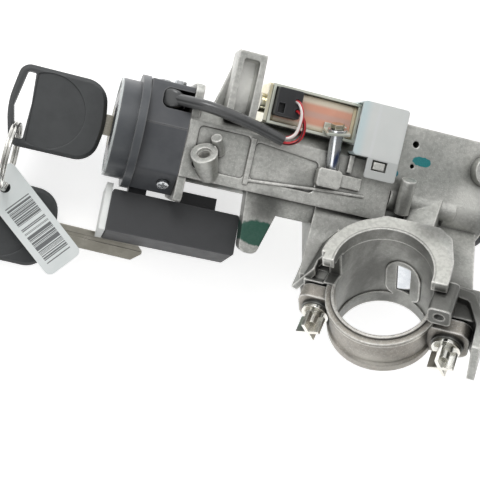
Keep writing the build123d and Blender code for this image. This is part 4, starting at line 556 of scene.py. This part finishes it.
FINISHES = {name: plain_finish(name, **values) for name, values in PLAIN_FINISHES.items()}
FINISHES.update({
    "cast_housing": cast_metal("cast_housing", (186, 187, 182), (208, 208, 203), rim=0.0222,
                               shades=HOUSING_PAINTED_LIGHT, marks=PAINT_MARKS),
    "clamp_casting": cast_metal("clamp_casting", (160, 155, 147), (178, 172, 163),
                                shades=CLAMP_PAINTED_LIGHT),
    "zinc_bolt": zinc("zinc_bolt", (234, 236, 232), (222, 214, 200)),
    "yellow_zinc": zinc("yellow_zinc", (226, 224, 204), (214, 198, 150)),
    "light_guide": light_ring_finish(),
    "coil_wrap": winding(),
    "wire_red_white": striped("wire_red_white", (206, 34, 44), (238, 230, 226), 0.17),
    "wire_red_black": striped("wire_red_black", (196, 28, 40), (30, 22, 24), 0.07),
    "clear_cap": cap_moulding(),
    "tag_white": card_finish(),
})

for part in frame["record"]["subparts"]:
    node = frame["nodes"][part["node"]]
    for holder in node.material_slots:
        holder.material = FINISHES[part["material_slot"]]


# Grids of points

def unit(vectors):
    """Each row divided by its own length."""
    return vectors / np.linalg.norm(vectors, axis=-1, keepdims=True)


def full_turn(count):
    """Angles evenly round a circle, from minus pi up to, but not at, pi."""
    return np.linspace(-math.pi, math.pi, count, endpoint=False)


def squared(angle, power):
    """How far out a rounded square of half size one is at each angle: the point where
    |cosine|^power + |sine|^power, times the distance to that power, is one."""
    return (np.abs(np.cos(angle)) ** power + np.abs(np.sin(angle)) ** power) ** (-1 / power)


def smooth_line(route):
    """Points of the NURBS spline of order 3 that has the route's points, in millimetres, as its
    control points."""
    curve = bpy.data.curves.new("route", "CURVE")
    curve.dimensions = "3D"
    spline = curve.splines.new("NURBS")
    spline.points.add(len(route) - 1)
    spline.points.foreach_set("co", np.c_[np.array(route) * MM, np.ones(len(route))].ravel())
    spline.order_u = 3
    spline.use_endpoint_u = True
    spline.resolution_u = 20
    holder = bpy.data.objects.new("route", curve)
    line = bpy.data.meshes.new_from_object(holder)
    points = np.zeros(len(line.vertices) * 3)
    line.vertices.foreach_get("co", points)
    bpy.data.objects.remove(holder)
    return points.reshape(-1, 3)


def tube_grid(line, radius, facing, count=28):
    """Rings of points about a line. radius is a function of the angle, which is measured from
    the side that looks along facing; each ring is square to the line."""
    along = unit(np.gradient(line, axis=0))
    side = unit(np.cross(along, np.array(facing, float)))
    front = np.cross(side, along)
    angle = full_turn(count)
    reach = radius(angle)[None, :, None]
    ring = np.cos(angle)[None, :, None] * front[:, None] + np.sin(angle)[None, :, None] * side[:, None]
    return line[:, None] + reach * ring


def sleeve_radius(angle):
    """Round sleeve with one groove beside its front: the radius less the groove's depth times a
    bell curve of the angle, e to the minus square of (angle - groove_at) / groove_width."""
    round_radius = 2.5
    groove_depth, groove_at, groove_width = 0.42, 0.35, 0.22
    return (round_radius - groove_depth * np.exp(-((angle - groove_at) / groove_width) ** 2)) * MM


def wire_radius(angle):
    """Plain round wire, 1.6 mm across."""
    return np.full_like(angle, 0.8 * MM)


def boxy_coil():
    """Taped winding: rings round the coil's axis, rounded squares outside and circles inside,
    carried along x. The outside swells between its ends by the square root of a sine."""
    rows, count, power = 24, 96, 14
    left, right, height, depth = -57.2, -22.8, 71.0, -33.0
    half_size, swell, hole_radius = 7.05, 0.15, 4.3
    angle = full_turn(count)
    x = np.linspace(left, right, rows)
    size = half_size + swell * np.sin(np.linspace(0, math.pi, rows)) ** 0.5
    far = np.r_[size[:, None] * squared(angle, power), np.full((2, count), hole_radius)]
    row_x = np.r_[x, x[-1], x[0]]
    grid = np.stack([np.broadcast_to(row_x[:, None], far.shape), height + far * np.sin(angle),
                     depth + far * np.cos(angle)], axis=-1) * MM
    return grid[::-1]


def boot_grid():
    """Rubber boot in the notch: rounded square rings carried along a straight line and drawn in
    at both ends by the fourth root of a sine."""
    rows, count, power = 20, 64, 6
    start, run = np.array((-104.6, 63.2, -29.6)), np.array((7.6, 0.0, 4.4))
    side, front = np.array((0.0, 1.0, 0.0)), np.array((-0.5, 0.0, 0.866))
    half_size, flatness = 3.9, 0.85
    step = np.linspace(0.04, 0.96, rows)
    angle = full_turn(count)
    far = (half_size * np.sin(np.pi * step) ** 0.25)[:, None] * squared(angle, power)
    ring = np.cos(angle)[:, None] * front * flatness + np.sin(angle)[:, None] * side
    line = start + step[:, None] * run
    return ((line[:, None] + far[..., None] * ring) * MM)[::-1]


def thread_grid(middle, along, bore, length, pitch):
    """Threaded lining of a hole: rings square to along. The inner radius is the bore's, less a
    gap, less the thread's height times twice the distance of (depth / pitch - turn) from the
    nearest whole number."""
    first_depth, rows_per_pitch, count = 0.6, 12, 48
    inner_gap, outer_gap, thread_height = 0.05, 0.03, 0.5
    along = unit(np.array(along, float))
    side = unit(np.cross(along, (0.0, 1.0, 0.1)))
    up = np.cross(along, side)
    depth = np.linspace(first_depth, length, int(length / pitch * rows_per_pitch))
    angle = full_turn(count)
    phase = depth[:, None] / pitch - angle / math.tau
    inner = bore - inner_gap - thread_height * 2 * np.abs(phase - np.round(phase))
    far = np.r_[inner, np.full((2, count), bore - outer_gap)]
    row_depth = np.r_[depth, depth[-1], depth[0]]
    ring = np.cos(angle)[:, None] * side + np.sin(angle)[:, None] * up
    return (np.array(middle) + far[..., None] * ring - row_depth[:, None, None] * along) * MM


def piece(name, grid, slot, sharp, close_rows=False):
    """Mesh from a grid of points: rows along the first axis, points around each row joined in a
    ring. The ends are closed with one face each, or the last row is joined to the first. Edges
    that turn by more than sharp degrees stay crisp."""
    rows, count = grid.shape[:2]
    index = np.arange(rows * count).reshape(rows, count)
    after = np.roll(index, -1, axis=1)
    if close_rows:
        low, low_after = index, after
        high, high_after = np.roll(index, -1, axis=0), np.roll(after, -1, axis=0)
    else:
        low, low_after, high, high_after = index[:-1], after[:-1], index[1:], after[1:]
    quads = np.stack([low, low_after, high_after, high], axis=-1).reshape(-1, 4).tolist()
    ends = [] if close_rows else [index[0][::-1].tolist(), index[-1].tolist()]
    mesh = bpy.data.meshes.new(name)
    mesh.from_pydata(grid.reshape(-1, 3).tolist(), [], quads + ends)
    mesh.polygons.foreach_set("use_smooth", np.ones(len(mesh.polygons), bool))
    # The map: across goes once round each ring, where the last face ends at one and not at zero
    layer = mesh.uv_layers.new(name="UVMap")
    corner = np.zeros(len(mesh.loops), int)
    mesh.loops.foreach_get("vertex_index", corner)
    around, along = (corner % count) / count, (corner // count) / (rows - 1)
    far_side = np.zeros(len(corner), bool)
    far_side[:len(quads) * 4] = np.tile([False, True, True, False], len(quads))
    around = np.where(far_side & (around == 0), 1.0, around)
    layer.data.foreach_set("uv", np.c_[around, along].ravel())
    mesh.set_sharp_from_angle(angle=math.radians(sharp))
    shape = bpy.data.objects.new(name, mesh)
    bpy.context.scene.collection.objects.link(shape)
    mesh.materials.append(FINISHES[slot])
    return shape


# Lead, wires, coil and threads

SHEATH_ROUTE = [(-103.0, 63.4, -28.8), (-91.0, 63.0, -19.6), (-83.0, 62.3, -17.4),
                (-73.0, 60.8, -17.0), (-62.5, 58.7, -17.2), (-52.6, 56.2, -18.2)]
PALE_ROUTE = [(-56.2, 58.1, -17.8), (-52.7, 57.1, -18.1), (-49.4, 58.1, -17.6),
              (-47.3, 60.8, -16.6), (-47.3, 68.1, -14.6), (-48.4, 71.2, -15.4),
              (-49.3, 73.3, -17.8), (-49.7, 73.8, -21.4)]
DARK_ROUTE = [(-56.7, 56.1, -17.9), (-52.6, 55.1, -18.3), (-49.0, 55.5, -18.0),
              (-46.0, 57.4, -17.6), (-44.6, 60.5, -17.3), (-45.1, 64.6, -16.3),
              (-46.7, 67.5, -16.8), (-48.4, 69.4, -19.1), (-49.0, 70.0, -22.4)]

sleeve_grid = tube_grid(smooth_line(SHEATH_ROUTE), sleeve_radius, (0, 0, 1), 48)
sleeve = piece("lead_sleeve", sleeve_grid, "sheath_black", sharp=60)
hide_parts("lead_sheath")
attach(sleeve, "base")
boot = piece("lead_boot", boot_grid(), "sheath_black", sharp=60)
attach(boot, "base")
pale_grid = tube_grid(smooth_line(PALE_ROUTE), wire_radius, (-1, -1, 1))
pale = piece("pale_wire_tube", pale_grid, "wire_red_white", sharp=60)
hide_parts("wire_pale")
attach(pale, "base")
dark_grid = tube_grid(smooth_line(DARK_ROUTE), wire_radius, (-1, -1, 1))
dark = piece("dark_wire_tube", dark_grid, "wire_red_black", sharp=60)
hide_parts("wire_dark")
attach(dark, "base")
coil = piece("taped_coil", boxy_coil(), "coil_wrap", sharp=50, close_rows=True)
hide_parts("solenoid_coil")
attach(coil, "base")

# Each threaded hole: the middle of its mouth, the way out of it, and its bore's radius, length
# and pitch in millimetres
for name, slot, middle, along, bore, length, pitch in (
        ("boss_thread", "cast_housing", (-84.3, 43.6, -17.5), COLUMN, 3.0, 9.0, 1.0),
        ("nut_thread", "dark_steel", (14.7, 0.1, 25.7), -UPWARD, 2.1, 11.0, 0.8)):
    lining = piece(name, thread_grid(middle, along, bore, length, pitch), slot, sharp=30,
                   close_rows=True)
    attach(lining, "base")


# Stage, light and camera

def pale_floor():
    """Flat floor under the object, white to the camera, dull to the light, with its shadow."""
    gap, half_size = 0.0005, 3.0
    low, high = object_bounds()
    level = low[2] - gap
    mesh = bpy.data.meshes.new("floor")
    mesh.from_pydata([(x * half_size, y * half_size, level)
                      for x, y in ((-1, -1), (1, -1), (1, 1), (-1, 1))], [], [(0, 1, 2, 3)])
    floor = bpy.data.objects.new("floor", mesh)
    bpy.context.scene.collection.objects.link(floor)
    material, tree, shader = new_material("floor_white", Base_Color=(0.86, 0.86, 0.86, 1.0),
                                          Roughness=0.9, Specular_IOR_Level=0.0,
                                          Emission_Color=(1.0, 1.0, 1.0, 1.0))
    rays = place(tree, "ShaderNodeLightPath").outputs
    mirrored = maths(tree, "ADD", rays["Is Glossy Ray"], rays["Is Transmission Ray"])
    seen = maths(tree, "ADD", rays["Is Camera Ray"], mirrored, clamp=True)
    join(tree, shader, Emission_Strength=maths(tree, "MULTIPLY", seen, 0.6))
    mesh.materials.append(material)


# Lamps: name, place, width and power in watts
LAMPS = (
    ("key_lamp", (-0.32, 0.55, 0.48), 0.40, 2.0),
    ("fill_lamp", (0.60, 0.20, 0.45), 0.5, 0.5),
    ("low_lamp", (-0.30, -0.45, 0.40), 0.5, 0.8),
)
LAMPS_AIM = Vector((-0.04, 0.03, -0.03))


def studio_light():
    """White world, bright from above the barrel and dim from below it, and three wide lamps."""
    bright_side = (-0.28, 0.86, 0.42)
    world = bpy.data.worlds.new("studio")
    world.use_nodes = True
    bpy.context.scene.world = world
    tree = world.node_tree
    back = tree.nodes["Background"]
    rays = place(tree, "ShaderNodeLightPath").outputs
    ray_way = place(tree, "ShaderNodeTexCoord").outputs["Generated"]
    towards = vector_maths(tree, "DOT_PRODUCT", ray_way, bright_side)
    level = span(tree, towards, -0.5, 0.95, 0.14, 0.85)
    tree.links.new(maths(tree, "MAXIMUM", rays["Is Camera Ray"], level), back.inputs["Strength"])
    back.inputs["Color"].default_value = (1.0, 1.0, 1.0, 1.0)
    for name, spot, width, power in LAMPS:
        lamp = bpy.data.lights.new(name, "AREA")
        lamp.shape = "DISK"
        lamp.size = width
        lamp.energy = power
        holder = bpy.data.objects.new(name, lamp)
        holder.location = spot
        holder.rotation_euler = (LAMPS_AIM - Vector(spot)).to_track_quat("-Z", "Y").to_euler()
        bpy.context.scene.collection.objects.link(holder)


def photo_camera():
    """Camera at the photograph's place; the columns of turn are its right, its up and the way
    back from what it looks at."""
    spot = (-0.13945, 0.03365, 0.35479)
    turn = Matrix(((0.9573, -0.2035, -0.2052), (0.2197, 0.9738, 0.0590), (0.1878, -0.1015, 0.9769)))
    lens = bpy.data.cameras.new("camera")
    lens.sensor_width = 36.0
    lens.lens = 67.5
    lens.clip_start = 0.01
    holder = bpy.data.objects.new("camera", lens)
    holder.matrix_world = Matrix.Translation(spot) @ turn.normalized().to_4x4()
    bpy.context.scene.collection.objects.link(holder)
    bpy.context.scene.camera = holder


pale_floor()
studio_light()
photo_camera()
bpy.context.scene.view_settings.view_transform = "Standard"
